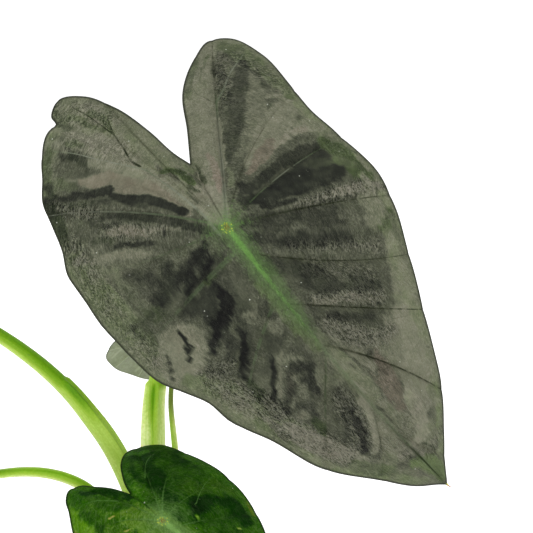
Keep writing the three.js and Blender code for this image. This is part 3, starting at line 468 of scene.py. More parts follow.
GROWN_CRINKLES = [
    (0.08, 3.5, [(-82, -44, 3.5), (-69, -32, 5.2), (-55, -19, 5.7), (-40, -15, 3.9)]),
    (0, 3.5, [(-4, 22, 4.5), (5, 44, 7.1), (10, 66, 7.4), (22, 76, 6.3)]),
    (0.15, 3.5, [(99, 48, 7.4), (120, 37, 10), (142, 26, 7.6)]),
    (0.2, 3.5, [(-23, 41, 4.7), (-25, 67, 7.5), (-23, 82, 5.2)]),
    (0.7, 4.1, [(-121, -21, 5.7), (-105, -11, 7.4), (-90, -3, 5.4)]),
    (0.5, 4.1, [(-97, -26, 6), (-82, -16, 7.1), (-69, -10, 5.8)]),
    (1, 2.9, [(-80, -60, 2.4), (-69, -56, 4.1), (-59, -47, 3.4)]),
    (0.55, 2.9, [(-55, -37, 2.8), (-42, -26, 3.4), (-28, -17, 2.8)]),
    (0.7, 2.9, [(-46, -51, 3.4), (-35, -41, 5), (-22, -26, 3.3)]),
    (0.9, 4.1, [(-58, -70, 4.1), (-48, -70, 5.8), (-38, -72, 5.8)]),
    (0.8, 4.1, [(-30, -76, 7), (-12, -77, 7.5)]),
    (0.7, 3.5, [(4, -79, 5.7), (16, -79, 5.2), (28, -80, 4)]),
    (0.3, 2.9, [(-15, -44, 3.3), (-5, -38, 3.3)]),
    (0.1, 3.5, [(29, -62, 6.7), (41, -68, 7.9)]),
    (0.8, 2.9, [(52, -64, 4), (58, -50, 4.5)]),
    (1.2, 3.5, [(60, -65, 3.4), (71, -59, 6.8), (85, -53, 8), (96, -49, 6.9)]),
    (1, 3.5, [(105, -49, 7), (123, -43, 7.1), (142, -33, 7.3)]),
    (0.15, 2.9, [(48, -32, 3.3), (66, -47, 3.4)]),
    (0.3, 3.5, [(63, -31, 4.5), (79, -24, 5.7), (93, -24, 6.9), (101, -34, 5.8)]),
    (1, 2.9, [(76, 6, 4), (89, 11, 6.4), (103, 20, 5.3), (106, 31, 3)]),
    (1, 3.5, [(114, -15, 4.7), (128, -17, 6.5), (144, -21, 5.5)]),
    (1, 2.9, [(62, 8, 2.8), (68, 17, 3.5), (76, 27, 4.1), (88, 39, 4.2)]),
    (0.7, 3.5, [(48, 19, 4.6), (61, 32, 5.3), (75, 42, 4.8)]),
    (0.4, 3.5, [(108, 15, 4.8), (125, 11, 6), (131, 1, 4.2)]),
    (1, 2.3, [(18, 37, 2.3), (23, 49, 3), (28, 61, 3.3), (38, 79, 3.9), (45, 87, 2)]),
    (0.3, 3.5, [(26, 33, 4.6), (41, 51, 5.4)]),
    (0.8, 2.3, [(31, 19, 2.3), (47, 37, 2.9), (66, 58, 3.1)]),
    (0.8, 2.9, [(-78, 70, 3.3), (-65, 58, 4.4), (-53, 51, 3.1)]),
    (0.7, 2.9, [(-70, 77, 4.7), (-55, 81, 5.4), (-41, 83, 4)]),
    (0.45, 3.5, [(153, -20, 3.7), (160, -4, 6.3), (152, 13, 6.3)]),
    (0.9, 2.9, [(169, -6, 3.2), (181, 7, 4), (175, 18, 2.6)]),
    (0.1, 3.5, [(57, -26, 4.5), (70, -26, 4.5), (77, -40, 5.7)]),
    (0.1, 3.5, [(10, -48, 7.8), (23, -34, 6.6)]),
    (0.1, 3.5, [(25, -16, 5), (41, -23, 5)]),
    (0.12, 3.5, [(-60, -38, 4), (-39, -22, 4.6), (-19, -10, 3.2)]),
]

# Buckles of the main blade: along, across, half length, half width, direction, height

GROWN_BUCKLES = [
    (36, -58, 13, 9, 60, 1.8),
    (33, -34, 13, 4, 95, -1.7),
    (36, -61, 8, 1.6, -30, -0.9),
    (-38, -42, 9, 3.5, -40, 0.8),
    (-15, 42, 22, 6, 70, 0.9),
    (-2, 52, 26, 5, 75, -0.9),
    (62, -44, 12, 2.6, 115, -1.1),
    (84, -44, 14, 2.2, 120, -0.9),
    (120, -22, 13, 3, 150, -0.9),
    (-74, 44, 14, 7, 60, 0.9),
    (108, 30, 16, 9, 30, 0.7),
]

# The leaves, as in the part. Rows and columns give the fineness of the skin: the distance
# between rows at the outline in millimetres, and an even number of columns.

LEAVES = {
    "main": {
        "shape": GROWN, "scale": 1, "mirror": False, "at": (42.3, -62, 362.6), "turn": (8, 20, 41),
        "arch_tip": 36 / 190, "arch_back": 28 / 110, "arch_side": 210, "thickness": 0.9,
        "keel": 2.2, "pillow": 0.085, "wave": 0.8,
        "route": [
            (-1, -9), (-1.6, -6, 180), (-1.2, -4, 221.6), (-0.4, -4, 251), (3.7, -4, 278),
            (9.5, -6, 305), (18, -13, 330), (30, -29, 349),
        ],
        "stalk_base": 7.8, "stalk_top": 3.3, "sheath_end": 0.53, "facing": (-0.6, -0.8, 0.1),
        "row_step": 1.75, "columns": 96, "seed": 3, "buckles": GROWN_BUCKLES,
    },
    "front": {
        "shape": YOUNG, "scale": 1, "mirror": False, "at": (6, -75, 198), "turn": (5, 52, 41),
        "arch_tip": 38 / 110, "arch_back": 25 / 60, "arch_side": 110, "thickness": 0.8,
        "keel": 1.3, "pillow": 0.08, "wave": 0.5,
        "route": [(4, -23), (4.5, -33, 155), (5, -50, 174)],
        "stalk_base": 4.4, "stalk_top": 2.2, "sheath_end": 0.45, "facing": (0, 0.7, 0.7),
        "row_step": 1.1, "columns": 64, "seed": 5,
    },
    "back": {
        "shape": YOUNG, "scale": 0.6, "mirror": False, "at": (4.5, 48, 274), "turn": (200, 35, -63),
        "arch_tip": 30 / 90, "arch_back": 20 / 50, "arch_side": 100, "thickness": 0.8,
        "keel": 1, "pillow": 0.07, "wave": 0.4,
        "route": [(14, 3), (12, 11, 170), (9.3, 20, 212.8), (6.9, 26, 235)],
        "stalk_base": 3.6, "stalk_top": 1.1, "sheath_end": 0.35, "facing": (0, 1, 0.2),
        "row_step": 0.9, "columns": 48, "seed": 9,
    },
    "far": {
        "shape": GROWN, "scale": 0.95, "mirror": True, "at": (-190, 12, 338), "turn": (-80, 30, 0),
        "arch_tip": 38 / 190, "arch_back": 28 / 110, "arch_side": 190, "thickness": 0.9,
        "keel": 2.2, "pillow": 0.08, "wave": 0.8,
        "route": [
            (-2, 9), (-8, 7, 165), (-17.3, 5, 195), (-29.6, 3, 221), (-39.1, 1, 235.7),
            (-49.6, 0, 250), (-63.7, -1, 265), (-80, -1, 278.5), (-100, 1, 291.5),
            (-130, 5, 308), (-158, 8.5, 321.5),
        ],
        "stalk_base": 7.2, "stalk_top": 3, "sheath_end": 0.52, "facing": (1, 0, 0.3),
        "row_step": 2, "columns": 80, "seed": 12,
    },
    "old": {
        "shape": YOUNG, "scale": 0.92, "mirror": True, "at": (-134, -30, 200), "turn": (-75, 18, 5),
        "arch_tip": 38 / 110, "arch_back": 25 / 60, "arch_side": 110, "thickness": 0.8,
        "keel": 1.3, "pillow": 0.08, "wave": 0.5,
        "route": [
            (-16, -4), (-25, -13, 172), (-41, -22, 200.6), (-52, -25, 207.3), (-64, -27, 211),
            (-76, -29, 212.3), (-90, -30, 211.4), (-108, -30, 207.6),
        ],
        "stalk_base": 4.8, "stalk_top": 2.2, "sheath_end": 0.4, "facing": (0.6, 0, 0.8),
        "row_step": 1.1, "columns": 56, "seed": 15,
    },
}

# Shape of the skin between two veins, as in the part: how full it is, how soon it rises from
# the midrib, how much of that is left at the outline, and how close the waves of its edge are

PILLOW_POWER = 0.7
PILLOW_SHOULDER = 0.18
PILLOW_EDGE_DROP = 0.7
EDGE_WAVES = 1.9

# Materials of the two sides of a blade
UPPER, LOWER = 0, 1

# Strength and width of the glow along the midrib, by the way from the stalk to the tip

MIDRIB_FADE = [(0, 1), (0.05, 1), (0.12, 0.8), (0.2, 0.55), (0.3, 0.5), (0.38, 0.3), (0.46, 0)]
MIDRIB_WIDTH = [(0, 1), (0.2, 0.95), (0.44, 0.5)]

# The dry point at each tip, and the gap in the joint of each stalk with its blade

TIP_RINGS = 9
TIP_SIDES = 10
TIP_RADIUS = 0.75
TIP_END_RADIUS = 0.04
TIP_LENGTH = 6.2
TIP_OVERLAP = 2.2
STALK_GAP = 0.35
STALK_RINGS = 170
STALK_SIDES = 44

# How green each stalk is round its section: angle from its grooved side in degrees, and tone from
# 0, pale, to 1, deep green. The tone is partly the stalk's own colour, deep green on the grooved
# side and pale on the outer one, and partly painted light: the deepest stripe is painted shade in
# the groove, and the palest bands are painted highlights and painted light on sides that lie in
# shade. The first list is for the top of the sheath, the second for its foot, and the third for
# the stalk above it where that differs from the first.

STALK_TONES = {
    "main": [
        (-145, 0.1), (-105, 0.02), (-60, 0), (-38, 0.1), (-20, 0.4), (-4, 0.95), (22, 1),
        (36, 0.62), (54, 0.36), (80, 0.2), (110, 0.08), (150, 0.04),
    ],
    "far": [
        (-150, 0.14), (-120, 0.28), (-96, 0.38), (-80, 0.66), (-66, 1), (-40, 1), (0, 0.7),
        (40, 0.6), (90, 0.3), (150, 0.1),
    ],
    "old": [
        (-160, 0.02), (-120, 0.1), (-90, 0.5), (-50, 0.85), (-20, 0.7), (0, 0.5), (40, 0.5),
        (120, 0.2),
    ],
    "front": [(-90, 0.5), (0, 0.9), (90, 0.5), (180, 0.2)],
    "back": [(-110, 0), (-60, 0.5), (0, 0.8), (60, 0.8), (90, 0.6), (180, 0.3)],
}
LOW_TONES = {
    "main": [
        (-145, 0.06), (-105, 0), (-38, 0), (-14, 0.1), (6, 0.46), (24, 0.5), (38, 0.34),
        (56, 0.2), (86, 0.17), (110, 0.1), (150, 0.05),
    ],
    "far": [
        (-150, 0.2), (-100, 0.28), (-60, 0.36), (-30, 0.44), (0, 0.42), (90, 0.3), (150, 0.2),
    ],
}
BARE_TONES = {
    "main": [(-100, 0.3), (0, 0.5), (60, 0.75), (120, 0.6), (180, 0.2)],
    "far": [
        (-150, 0.1), (-120, 0.3), (-90, 0.7), (-50, 0.95), (0, 0.8), (90, 0.5), (150, 0.1),
    ],
}


# Small helpers

# Stand for no line near a point: in millimetres, and in half widths of a vein and of a branch
FAR = 1e9
FAR_RATIO = 99.0
FORK_REACH = 9.0


def length_of(v):
    return np.sqrt((v * v).sum(-1))


def bump(x, width):
    return np.exp(-((x / width) ** 2))


def smooth(start, end, x):
    f = np.clip((x - start) / (end - start), 0, 1)
    return f * f * (3 - 2 * f)


# Smooth random numbers from 0 to 1 over a plane, the same each run
def noise(x, y, seed=0):
    column, row = np.floor(x), np.floor(y)
    fx, fy = x - column, y - row
    fx = fx * fx * (3 - 2 * fx)
    fy = fy * fy * (3 - 2 * fy)

    def corner(i, j):
        value = np.sin((column + i) * 127.1 + (row + j) * 311.7 + seed * 74.7) * 43758.5453
        return value - np.floor(value)

    near = corner(0, 0) * (1 - fx) + corner(1, 0) * fx
    far = corner(0, 1) * (1 - fx) + corner(1, 1) * fx
    return near * (1 - fy) + far * fy


# Points at places s of a smooth curve through the points, which s counts from 0
def spline(points, s):
    points = np.asarray(points, float)
    s = np.asarray(s, float)
    legs = points[1:] - points[:-1]
    chords = length_of(legs)
    units = legs / chords[:, None]
    before, after = chords[:-1, None], chords[1:, None]
    inner = (units[:-1] * after + units[1:] * before) / (before + after)
    slopes = np.concatenate([units[:1], inner, units[-1:]])
    i = np.clip(np.floor(s).astype(int), 0, len(points) - 2)
    f = (s - i)[..., None]
    h = chords[i][..., None]
    return (
        points[i] * (2 * f**3 - 3 * f**2 + 1)
        + slopes[i] * h * (f**3 - 2 * f**2 + f)
        + points[i + 1] * (3 * f**2 - 2 * f**3)
        + slopes[i + 1] * h * (f**3 - f**2)
    )


# Distance from each flat point to a line of points, its side, and how far along the line it is
def near_line(p, line):
    line = np.asarray(line, float)
    best = np.full(p.shape[:-1], FAR)
    side = np.zeros(p.shape[:-1])
    along = np.zeros(p.shape[:-1])
    total = length_of(line[1:] - line[:-1]).sum()
    passed = 0.0
    for start, end in zip(line[:-1], line[1:]):
        leg = end - start
        size = math.hypot(*leg)
        f = np.clip(((p - start) @ leg) / size**2, 0, 1)
        off = p - start - f[..., None] * leg
        d = length_of(off)
        closer = d < best
        best = np.where(closer, d, best)
        side = np.where(closer, np.sign(leg[0] * off[..., 1] - leg[1] * off[..., 0]), side)
        along = np.where(closer, (passed + f * size) / total, along)
        passed += size
    return best, side, along


# Flat shape of a blade

# Outlines, veins and branches of a leaf at its scale, mirrored where it is
def sized(leaf):
    shape, scale = leaf["shape"], leaf["scale"]
    flip = -1 if leaf["mirror"] else 1

    def half(margin, veins):
        outline = np.array(margin, float) * scale * (1, flip)
        first = {"s": 0, "m": 0, "bow": 0}
        last = {"s": len(margin) - 1, "m": shape["length"] * scale, "bow": 0}
        middle = [
            {"s": s, "m": m * scale, "bow": bow, "widths": np.array(widths) * scale, "tones": tones}
            for s, m, bow, widths, tones in veins
        ]
        return {"margin": outline, "veins": [first, *middle, last]}

    halves = [half(shape["right"], shape["right_veins"]), half(shape["left"], shape["left_veins"])]
    if leaf["mirror"]:
        halves.reverse()
    halves[0]["hand"] = 1
    halves[1]["hand"] = -1
    flat = {
        "halves": halves,
        "length": shape["length"] * scale,
        "bend": shape["midrib_bend"] * scale * flip,
        "tip_off": halves[0]["margin"][-1][1],
        "scale": scale,
        "flip": flip,
        "forks": [
            (np.array(widths) * scale, tones, np.array(line, float) * scale * (1, flip))
            for widths, tones, line in shape["forks"]
        ],
    }
    knots = sorted({v["m"] for h in halves for v in h["veins"]})
    step = leaf["row_step"] * 0.9
    stations = []
    for start, end in zip(knots, knots[1:]):
        count = max(2, round((end - start) / step))
        stations.extend(start + (end - start) * np.arange(count) / count)
    flat["stations"] = np.array(stations)
    return flat


def midrib_at(flat, m):
    way = m / flat["length"]
    return flat["bend"] * np.sin(np.pi * way) + flat["tip_off"] * way**3


# Fine rows from the midrib to the outline, panel by panel between the veins
def fine_rows(leaf, flat, half):
    margin, veins = half["margin"], half["veins"]
    rows = []

    def panel(p, q, s, m, phase):
        outer = length_of(spline(margin, p["s"]) - spline(margin, q["s"]))
        bow = p["bow"] + (q["bow"] - p["bow"]) * phase
        inner = q["m"] - p["m"]
        rows.extend(zip(s, m, phase, bow, [inner] * len(s), [outer] * len(s)))

    for p, q in zip(veins, veins[1:]):
        if q["m"] == 0:
            places = np.linspace(p["s"], q["s"], 200)
            legs = length_of(np.diff(spline(margin, places), axis=0))
            run = np.concatenate([[0], np.cumsum(legs)])
            count = max(4, round(run[-1] / leaf["row_step"]))
            s = np.interp(run[-1] * np.arange(count) / count, run, places)
            panel(p, q, s, np.zeros(count), (s - p["s"]) / (q["s"] - p["s"]))
        else:
            first, last = np.searchsorted(flat["stations"], [p["m"] - 1e-9, q["m"] - 1e-9])
            m = flat["stations"][first:last]
            phase = (m - p["m"]) / (q["m"] - p["m"])
            panel(p, q, p["s"] + (q["s"] - p["s"]) * phase, m, phase)
    rows.append((veins[-1]["s"], veins[-1]["m"], 1, 0, veins[-1]["m"] - veins[-2]["m"], 1))
    return np.array(rows).T[..., None]


# Flat points of rows at parts t of the way to the outline, as a grid
def flat_points(flat, half, s, m, bow, t):
    start = np.concatenate([m, midrib_at(flat, m)], axis=-1)[:, None, :]
    end = spline(half["margin"], s[:, 0])[:, None, :]
    along = end - start
    across = np.stack([-along[..., 1], along[..., 0]], axis=-1)
    control = (start + end) / 2 + across * 2 * bow[..., None] * half["hand"]
    t = t[None, :, None]
    return start * (1 - t) ** 2 + control * 2 * t * (1 - t) + end * t**2


# The rise of the skin between its veins, and the wave of its edge
def skin_rise(leaf, half, s, phase, inner, outer, span, t):
    width = np.minimum((1 - t) * inner + t * outer, 0.8 * span)
    arch = (4 * phase * (1 - phase)) ** PILLOW_POWER
    shoulder = np.minimum(1, t / PILLOW_SHOULDER) * (1 - PILLOW_EDGE_DROP * t**4)
    ripple = np.sin(EDGE_WAVES * s) * np.sin(np.pi * s / (len(half["margin"]) - 1))
    return leaf["pillow"] * width * arch * shoulder + leaf["wave"] * ripple * t**4


# Blade in space

def blade_axes(turn):
    h, e, r = np.radians(turn)
    up = np.array([math.sin(h) * math.cos(e), -math.cos(h) * math.cos(e), math.sin(e)])
    down = np.array([math.sin(h) * math.sin(e), -math.cos(h) * math.sin(e), -math.cos(e)])
    tip = down * math.cos(r) + np.cross(up, down) * math.sin(r)
    return tip, np.cross(up, tip), up


# Bends flat points over the blade's arches; height is along the skin's normal.
def bent(leaf, p, height):
    tip, right, up = blade_axes(leaf["turn"])
    a, b = p[..., 0], p[..., 1]
    turn = np.radians(np.where(a >= 0, leaf["arch_tip"], leaf["arch_back"]))
    angle = turn * a
    radius = leaf["arch_side"]
    lean = b / radius
    normal = up * np.cos(angle)[..., None] + tip * np.sin(angle)[..., None]
    return (
        np.array(leaf["at"], float)
        + tip * (np.sin(angle) / turn)[..., None]
        - up * ((1 - np.cos(angle)) / turn)[..., None]
        + right * ((radius + height) * np.sin(lean))[..., None]
        + normal * (height * np.cos(lean) - radius * (1 - np.cos(lean)))[..., None]
    )


# The midrib of a blade and its veins, as lines of flat points
def vein_lines(flat):
    m = np.linspace(0, flat["length"], 60)
    midrib = np.stack([m, midrib_at(flat, m)], axis=-1)
    lines = []
    t = np.linspace(0, 1, 25)
    for half in flat["halves"]:
        for v in half["veins"][1:-1]:
            s, start, bow = (np.array([[v[k]]], float) for k in ("s", "m", "bow"))
            lines.append((v["widths"], v["tones"], flat_points(flat, half, s, start, bow, t)[0]))
    return midrib, lines


# Marks of the main veins: distance in half widths, tone, and depth of the crease
def vein_marks(flat, p, lines):
    nearest = np.full(p.shape[:-1], FAR_RATIO)
    tone = np.zeros(p.shape[:-1])
    crease = np.zeros(p.shape[:-1])
    for (wide, thin), tones, line in lines:
        d, _, way = near_line(p, line)
        ratio = d / (wide + (thin - wide) * way)
        tone = np.where(ratio < nearest, np.interp(way, [0, 0.5, 1], tones), tone)
        nearest = np.minimum(nearest, ratio)
        depth = 0.3 + 0.7 * min(1, 2 * max(abs(value) for value in tones))
        crease = np.maximum(crease, depth * bump(d, 1.1 * flat["scale"]) * (1 - 0.7 * way))
    return nearest, tone, crease


# Marks of the branches. Their distance in half widths has a sign for the side, so that a line
# thinner than the mesh stays sharp.
def fork_marks(flat, p):
    ratio = np.full(p.shape[:-1], FORK_REACH)
    near = np.full(p.shape[:-1], FAR_RATIO)
    tone = np.zeros(p.shape[:-1])
    crease = np.zeros(p.shape[:-1])
    for (wide, thin), tones, line in flat["forks"]:
        d, side, way = near_line(p, spline(line, np.linspace(0, len(line) - 1, 20)))
        closer = d < near
        signed = np.clip(side * d / (wide + (thin - wide) * way), -FORK_REACH, FORK_REACH)
        ratio = np.where(closer, signed, ratio)
        tone = np.where(closer, np.interp(way, [0, 0.5, 1], tones), tone)
        near = np.minimum(near, d)
        crease = np.maximum(crease, 0.6 * bump(d, 0.9 * flat["scale"]) * (1 - 0.6 * way))
    return ratio, near, tone, crease


# The bright midrib and the patch round the stalk, the haze along them, and the pale line that
# goes on from there to the tip
def midrib_marks(flat, p, mid, mid_way, away, vein):
    scale = flat["scale"]
    tipward = smooth(-1, 3, p[..., 0])
    fade = np.interp(mid_way, *zip(*MIDRIB_FADE))
    slim = scale * np.interp(mid_way, *zip(*MIDRIB_WIDTH))
    core = np.maximum(bump(mid, 2.1 * slim), 0.42 * bump(mid, 6 * slim))
    glow = np.maximum(core * fade * tipward, 0.9 * bump(away, 4.5 * scale))
    glow = np.maximum(glow, 0.6 * bump(vein, 2.5) * np.exp(-away / (12 * scale)))
    halo = smooth(12 * slim, 2 * slim, mid) * smooth(0.46, 0.26, mid_way) * tipward
    halo = np.maximum(halo, bump(away, 13 * scale))
    spine = bump(mid, 1.1 * scale) * smooth(0.32, 0.42, mid_way) * smooth(1, 0.85, mid_way)
    return glow, halo, spine


# Level, hue and roughness of the skin. On the grown blade the level is mostly painted sheen and
# painted shade. Its patches are read at places shaken a little, so that none has a smooth outline.
def skin_tone(name, flat, p, along, near, edge):
    ripple = 1.1 * (noise(along / 1.1, near / 6, 1) - 0.5)
    x = p[..., 0] + ripple + 1.5 * (noise(along / 3.5, near / 3.5, 2) - 0.5)
    y = p[..., 1] + ripple + 1.5 * (noise(along / 3.5, near / 3.5, 4) - 0.5)
    shaken = np.stack([x, y * flat["flip"]], axis=-1) / flat["scale"]
    feather = noise(along / 1.1, near / 3.2, 7) + 1.3 * noise(along / 2.6, near / 2.6, 8) - 1.15
    skin, strokes = SKINS[name]
    level, hue, rough = skin(shaken, edge)
    level, hue = lay(strokes, shaken, feather, level, hue)
    mottle = noise(p[..., 0] / 7, p[..., 1] / 7, 5) - 0.5
    mottle = mottle + 0.8 * (noise(p[..., 0] / 2.4, p[..., 1] / 2.4, 6) - 0.5)
    return level + 0.1 * mottle, hue, rough


# Marks on the skin of a blade, one value a point; p is flat and in millimetres.
def skin_marks(name, flat, p, along, near):
    away = length_of(p)
    midrib, lines = vein_lines(flat)
    mid, _, mid_way = near_line(p, midrib)
    vein, tone, vein_crease = vein_marks(flat, p, lines)
    branch, branch_near, branch_tone, fork_crease = fork_marks(flat, p)
    edge = np.full(away.shape, FAR)
    for half in flat["halves"]:
        outline = spline(half["margin"], np.linspace(0, len(half["margin"]) - 1, 220))
        edge = np.minimum(edge, near_line(p, outline)[0])
    glow, halo, spine = midrib_marks(flat, p, mid, mid_way, away, vein)
    level, hue, rough = skin_tone(name, flat, p, along, near, edge)
    return {
        "level": level, "hue": hue, "rough": rough, "glow": glow, "halo": halo, "spine": spine,
        "vein": vein, "tone": tone, "branch": branch, "branch_near": branch_near,
        "branch_tone": branch_tone, "scar": bump(away, 3.2 * flat["scale"]), "edge": edge,
        "mid": mid, "away": away, "crease": np.maximum(vein_crease, fork_crease),
    }


# Distance from each flat point to a patch drawn by points with a radius, negative inside it
def off_patch(p, points):
    d = np.full(p.shape[:-1], FAR)
    for start, end in zip(points[:-1], points[1:]):
        a, b = np.array(start[:2], float), np.array(end[:2], float)
        leg = b - a
        f = np.clip(((p - a) @ leg) / (leg @ leg), 0, 1)
        radius = start[2] + (end[2] - start[2]) * f
        d = np.minimum(d, length_of(p - a - f[..., None] * leg) - radius)
    return d


# Lays patches one over another on a base level and hue, with feathered outlines.
def lay(strokes, p, feather, level, hue):
    for shade, tint, soft, points in strokes:
        mask = smooth(0.6 * soft, -0.6 * soft, off_patch(p, points) + 0.8 * soft * feather)
        level = level + (shade - level) * mask
        hue = hue + (tint - hue) * mask
    return level, hue


# The base of each kind of skin, under its patches: level, hue and roughness

def grown_skin(p, edge):
    rim = smooth(15, 3, edge + 8 * (noise(p[..., 0] / 9, p[..., 1] / 9, 35) - 0.5))
    rough = np.full(edge.shape, 0.25)
    for strength, soft, points in GROWN_CRINKLES:
        rough = rough + (strength - rough) * smooth(soft, -soft, off_patch(p, points))
    return 0.38 + 0.22 * rim, -0.1 - 0.2 * rim, rough


def young_skin(p, edge):
    rim = smooth(12, 2, edge)
    return 0.26 + 0.12 * rim, -0.3 - 0.2 * rim, np.full(edge.shape, 0.15)


# A grown blade outside the photograph: each panel has a pale side of painted sheen and a dark side of
# painted shade.
def far_skin(p, edge):
    rim = smooth(15, 3, edge)
    turn = np.arctan2(p[..., 1], p[..., 0])
    bands = noise(turn * 4.2 + 9, length_of(p) / 60, 31)
    patches = noise(turn * 9 + 3, length_of(p) / 26, 32)
    level = 0.16 + 0.5 * smooth(0.5, 0.62, bands) * smooth(0.3, 0.55, patches) + 0.22 * rim
    rough = 0.2 + 0.7 * smooth(0.55, 0.8, noise(p[..., 0] / 24, p[..., 1] / 24, 33))
    return level, 0.2 - 0.6 * rim, rough


def old_skin(p, edge):
    rim = smooth(12, 2, edge)
    patches = noise(p[..., 0] / 18 + 7, p[..., 1] / 14, 41)
    level = 0.24 + 0.3 * smooth(0.4, 0.8, patches) + 0.12 * rim
    return level, -0.25 - 0.3 * rim, np.full(edge.shape, 0.2)


SKINS = {
    "main": (grown_skin, GROWN_SHEEN_AND_SHADE_STROKES),
    "front": (young_skin, YOUNG_STROKES),
    "far": (far_skin, []),
    "old": (old_skin, []),
    "back": (old_skin, []),
}


# Node graphs

def srgb(*rgb):
    return [((c / 255 + 0.055) / 1.055) ** 2.4 if c > 10.3 else c / 255 / 12.92 for c in rgb] + [1]


# A material and short ways to add and join its nodes
class Graph:
    def __init__(self, name):
        self.material = bpy.data.materials.new(name)
        self.material.use_nodes = True
        self.tree = self.material.node_tree
        self.tree.nodes.clear()
        self.out = self.tree.nodes.new("ShaderNodeOutputMaterial")

    def node(self, kind, settings=None, **values):
        made = self.tree.nodes.new(kind)
        for key, value in (settings or {}).items():
            setattr(made, key, value)
        for key, value in values.items():
            self.put(made.inputs[key.replace("_", " ")], value)
        return made

    def put(self, socket, value):
        if isinstance(value, bpy.types.NodeSocket):
            self.tree.links.new(value, socket)
        else:
            socket.default_value = value

    def field(self, name):
        return self.node("ShaderNodeAttribute", {"attribute_name": name}).outputs["Fac"]

    def place(self, name):
        return self.node("ShaderNodeAttribute", {"attribute_name": name}).outputs["Vector"]

    def object_place(self):
        return self.node("ShaderNodeTexCoord").outputs["Object"]

    def math(self, operation, *values):
        made = self.node("ShaderNodeMath", {"operation": operation})
        for socket, value in zip(made.inputs, values):
            self.put(socket, value)
        return made.outputs[0]

    def times(self, first, second):
        return self.math("MULTIPLY", first, second)

    def plus(self, first, second):
        return self.math("ADD", first, second)

    def scaled(self, vector, by):
        made = self.node("ShaderNodeVectorMath", {"operation": "MULTIPLY"})
        self.put(made.inputs[0], vector)
        made.inputs[1].default_value = by
        return made.outputs[0]

    # From 0 to 1 as the value goes from start to end
    def step(self, value, start, end):
        made = self.node("ShaderNodeMapRange", {"interpolation_type": "SMOOTHSTEP"})
        for name, number in {"Value": value, "From Min": start, "From Max": end}.items():
            self.put(made.inputs[name], number)
        return made.outputs["Result"]

    def noise(self, vector, scale, detail=3, roughness=0.55, distortion=0.0):
        made = self.node(
            "ShaderNodeTexNoise", Vector=vector, Scale=scale, Detail=detail, Roughness=roughness,
            Distortion=distortion,
        )
        return made.outputs["Fac"]

    # Adds a noise, times a weight, to a value.
    def vary(self, value, noise, weight):
        return self.plus(value, self.times(self.math("SUBTRACT", noise, 0.5), weight))

    # Lays a color over another where the mask is 1, at a strength.
    def over(self, color, mask, strength, top):
        return self.mix(self.times(mask, strength), color, top)

    def cells(self, vector, scale, feature="F1"):
        made = self.node("ShaderNodeTexVoronoi", {"feature": feature}, Vector=vector, Scale=scale)
        return made.outputs["Distance"]

    def mix(self, factor, first, second, blend="MIX"):
        made = self.node("ShaderNodeMix", {"data_type": "RGBA", "blend_type": blend})
        for number, value in ((0, factor), (6, first), (7, second)):
            self.put(made.inputs[number], value)
        return made.outputs[2]

    def ramp(self, value, stops):
        made = self.node("ShaderNodeValToRGB", Fac=value)
        band = made.color_ramp
        while len(band.elements) < len(stops):
            band.elements.new(0.5)
        for element, (position, color) in zip(band.elements, stops):
            element.position = position
            element.color = color
        return made.outputs["Color"]

    def bump(self, height, distance, strength=1.0, under=None):
        made = self.node("ShaderNodeBump", Height=height, Distance=distance, Strength=strength)
        if under is not None:
            self.put(made.inputs["Normal"], under)
        return made.outputs["Normal"]

    def finish(self, color, roughness, normal, specular, subsurface=0.0):
        shader = self.node("ShaderNodeBsdfPrincipled")
        self.put(shader.inputs["Base Color"], color)
        self.put(shader.inputs["Roughness"], roughness)
        self.put(shader.inputs["Normal"], normal)
        shader.inputs["Specular IOR Level"].default_value = specular
        shader.inputs["Subsurface Weight"].default_value = subsurface
        shader.inputs["Subsurface Scale"].default_value = 0.003
        self.put(self.out.inputs["Surface"], shader.outputs["BSDF"])
        return self.material


DARK_LEAF = {
    "levels": [
        (0, srgb(5, 6, 4)), (0.12, srgb(33, 36, 27)), (0.42, srgb(73, 76, 60)),
        (0.7, srgb(109, 111, 91)), (1, srgb(142, 139, 122)),
    ],
    "green": srgb(216, 255, 178),
    "warm": srgb(255, 228, 238),
    "glow": srgb(102, 146, 70),
    "halo": srgb(84, 110, 62),
    "rib": srgb(84, 100, 70),
    "spine": srgb(108, 122, 92),
    "pale_vein": srgb(122, 126, 110),
    "dark_vein": srgb(38, 44, 24),
    "rim": srgb(40, 44, 30),
    # Painted glints on the wrinkle crests; the dust flecks take this colour too
    "spark": srgb(156, 156, 140),
}
GREEN_LEAF = {
    "levels": [
        (0, srgb(2, 24, 0)), (0.16, srgb(12, 50, 0)), (0.42, srgb(50, 92, 6)),
        (0.7, srgb(96, 132, 38)), (1, srgb(144, 168, 100)),
    ],
    "green": srgb(226, 255, 90),
    "warm": srgb(255, 205, 170),
    "glow": srgb(120, 160, 84),
    "halo": srgb(98, 128, 74),
    "rib": srgb(84, 124, 60),
    "spine": srgb(94, 132, 64),
    "pale_vein": srgb(116, 154, 94),
    "dark_vein": srgb(12, 44, 6),
    "rim": srgb(22, 42, 12),
    # Painted glints on the wrinkle crests; the dust flecks take this colour too
    "spark": srgb(176, 184, 150),
}
DULL_GREENS = (srgb(122, 138, 108), srgb(92, 108, 84), srgb(150, 170, 120))
PALE_GREENS = (srgb(176, 182, 156), srgb(144, 150, 126), srgb(190, 196, 170))
WATER_SPOT = srgb(190, 194, 180)
SCAR_GREEN = srgb(158, 172, 66)
SCAR_BROWN = srgb(112, 72, 40)
STALK_GREENS = [
    (0, srgb(236, 248, 176)), (0.1, srgb(216, 236, 142)), (0.24, srgb(184, 214, 98)),
    (0.5, srgb(150, 188, 54)), (0.8, srgb(114, 162, 16)), (1, srgb(90, 144, 2)),
]
TIP_COLORS = [
    (0, srgb(120, 140, 60)), (0.3, srgb(198, 186, 84)), (0.55, srgb(176, 120, 84)),
    (1, srgb(132, 78, 62)),
]

# Soil materials: dark and light color, scale of the grain, depth, then roughness and shine

